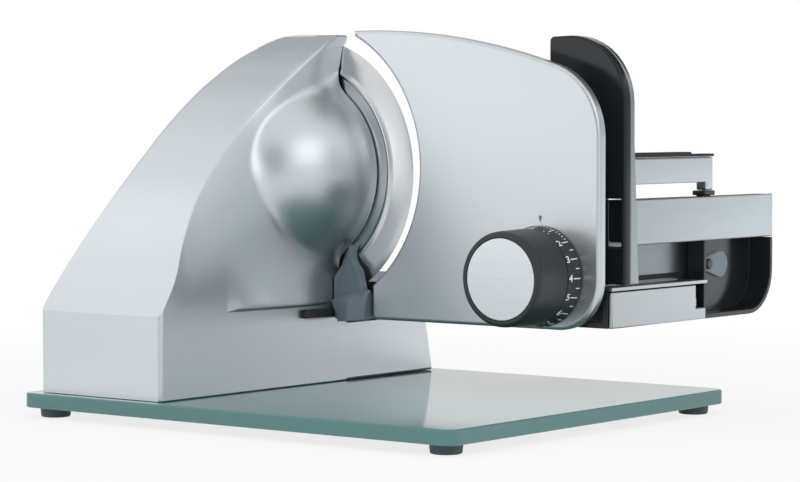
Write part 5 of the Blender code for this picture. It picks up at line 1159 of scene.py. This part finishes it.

# The black inlay is painted shade: it stands for the shade inside the shallow slot
slot_outline = rounded(SLOT_FROM, SLOT_TO, SLOT_CORNER, 4)
slot_shade_inlay = plate("wall_slot", "YZ", SLOT_INNER, SLOT_OUTER, slot_outline, 0.0, SLOT_RIM, 2)
dress(slot_shade_inlay, SLOT_SHADE_AND_CAP_BLACK, BODY_OF["carriage_wall"])
print("slot length:", round(slot_shade_inlay.dimensions.y / MM, 1))

# %% [markdown]
# ## The lower blade guard
# A black moulding closes the gap under the blade. Its front is cut like a gem: a leaf-shaped flat above, and
# below it a few facets that meet in an upright rib. The facets are the convex hull of sixteen corners, which is
# the shortest way to say where they meet. A flat tongue runs forward from it under the dome.

# %% Leaf
LEAF = [
    (134.4, 50.0), (132.2, 60.4), (129.3, 71.5), (124.6, 77.2), (122.7, 88.0), (116.2, 74.3), (110.1, 67.0),
    (110.1, 50.0),
]
LEAF_FRONT, LEAF_BACK, LEAF_CORNER = 168.0, 174.6, 0.9
LEAF_RIMS = (0.45, 0.2)

leaf = plate("guard_leaf", "XZ", LEAF_FRONT, LEAF_BACK, softened(LEAF, LEAF_CORNER), *LEAF_RIMS, 3)
dress(leaf, GUARD_SKIN, "base")
print("leaf faces:", len(leaf.data.polygons))

# %% Facets
FACET_EDGE, FACET_SEGMENTS = 0.35, 2
FACETS = [
    (109.7, 165.5, 52.4), (110.4, 168.5, 41.0), (120.3, 160.6, 39.8), (120.8, 162.6, 52.4), (126.2, 160.6, 39.8),
    (125.6, 162.6, 52.4), (134.6, 167.5, 40.4), (135.4, 168.5, 51.5), (135.4, 172.5, 59.5), (127.0, 168.2, 58.0),
    (109.7, 174.6, 52.4), (109.7, 181.6, 41.0), (134.4, 181.6, 41.0), (134.4, 174.6, 59.5), (109.7, 181.6, 50.0),
    (134.4, 181.6, 50.0),
]

form = bmesh.new()
bmesh.ops.convex_hull(form, input=[form.verts.new(spot(*corner)) for corner in FACETS])
bmesh.ops.dissolve_limit(form, angle_limit=math.radians(FLAT_ANGLE), verts=form.verts, edges=form.edges)
facets = to_object("guard_facets", form)
soft_edge = facets.modifiers.new("eased_edges", "BEVEL")
soft_edge.width = FACET_EDGE * MM
soft_edge.segments = FACET_SEGMENTS
stands_for(ease(facets, angle=20.0), "lower_blade_guard", GUARD_SKIN)
print("guard facets:", len(facets.data.polygons))

# %% Tongue
TONGUE = [(137.2, 42.2), (168.0, 42.2), (168.0, 47.4), (137.2, 47.4)]
TONGUE_LEFT, TONGUE_RIGHT, TONGUE_CORNER = 109.6, 113.0, 1.2
TONGUE_RIMS = (0.3, 1.0)

tongue_outline = softened(TONGUE, TONGUE_CORNER)
tongue = plate("guard_tongue", "YZ", TONGUE_LEFT, TONGUE_RIGHT, tongue_outline, *TONGUE_RIMS, 3)
dress(tongue, LOOKS["satin_black_plastic"], "base")
print("tongue faces:", len(tongue.data.polygons))

# %% [markdown]
# ## What stays as packed
# Screws, motor, gear and bearings are hidden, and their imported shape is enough. They still get the finish of
# their material slot, so that they look right when the housing is taken off.

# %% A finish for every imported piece
for node, piece in NODES.items():
    piece.data.materials.clear()
    piece.data.materials.append(LOOKS[SLOT_OF[node]])
print("packed pieces with a finish:", len(NODES))
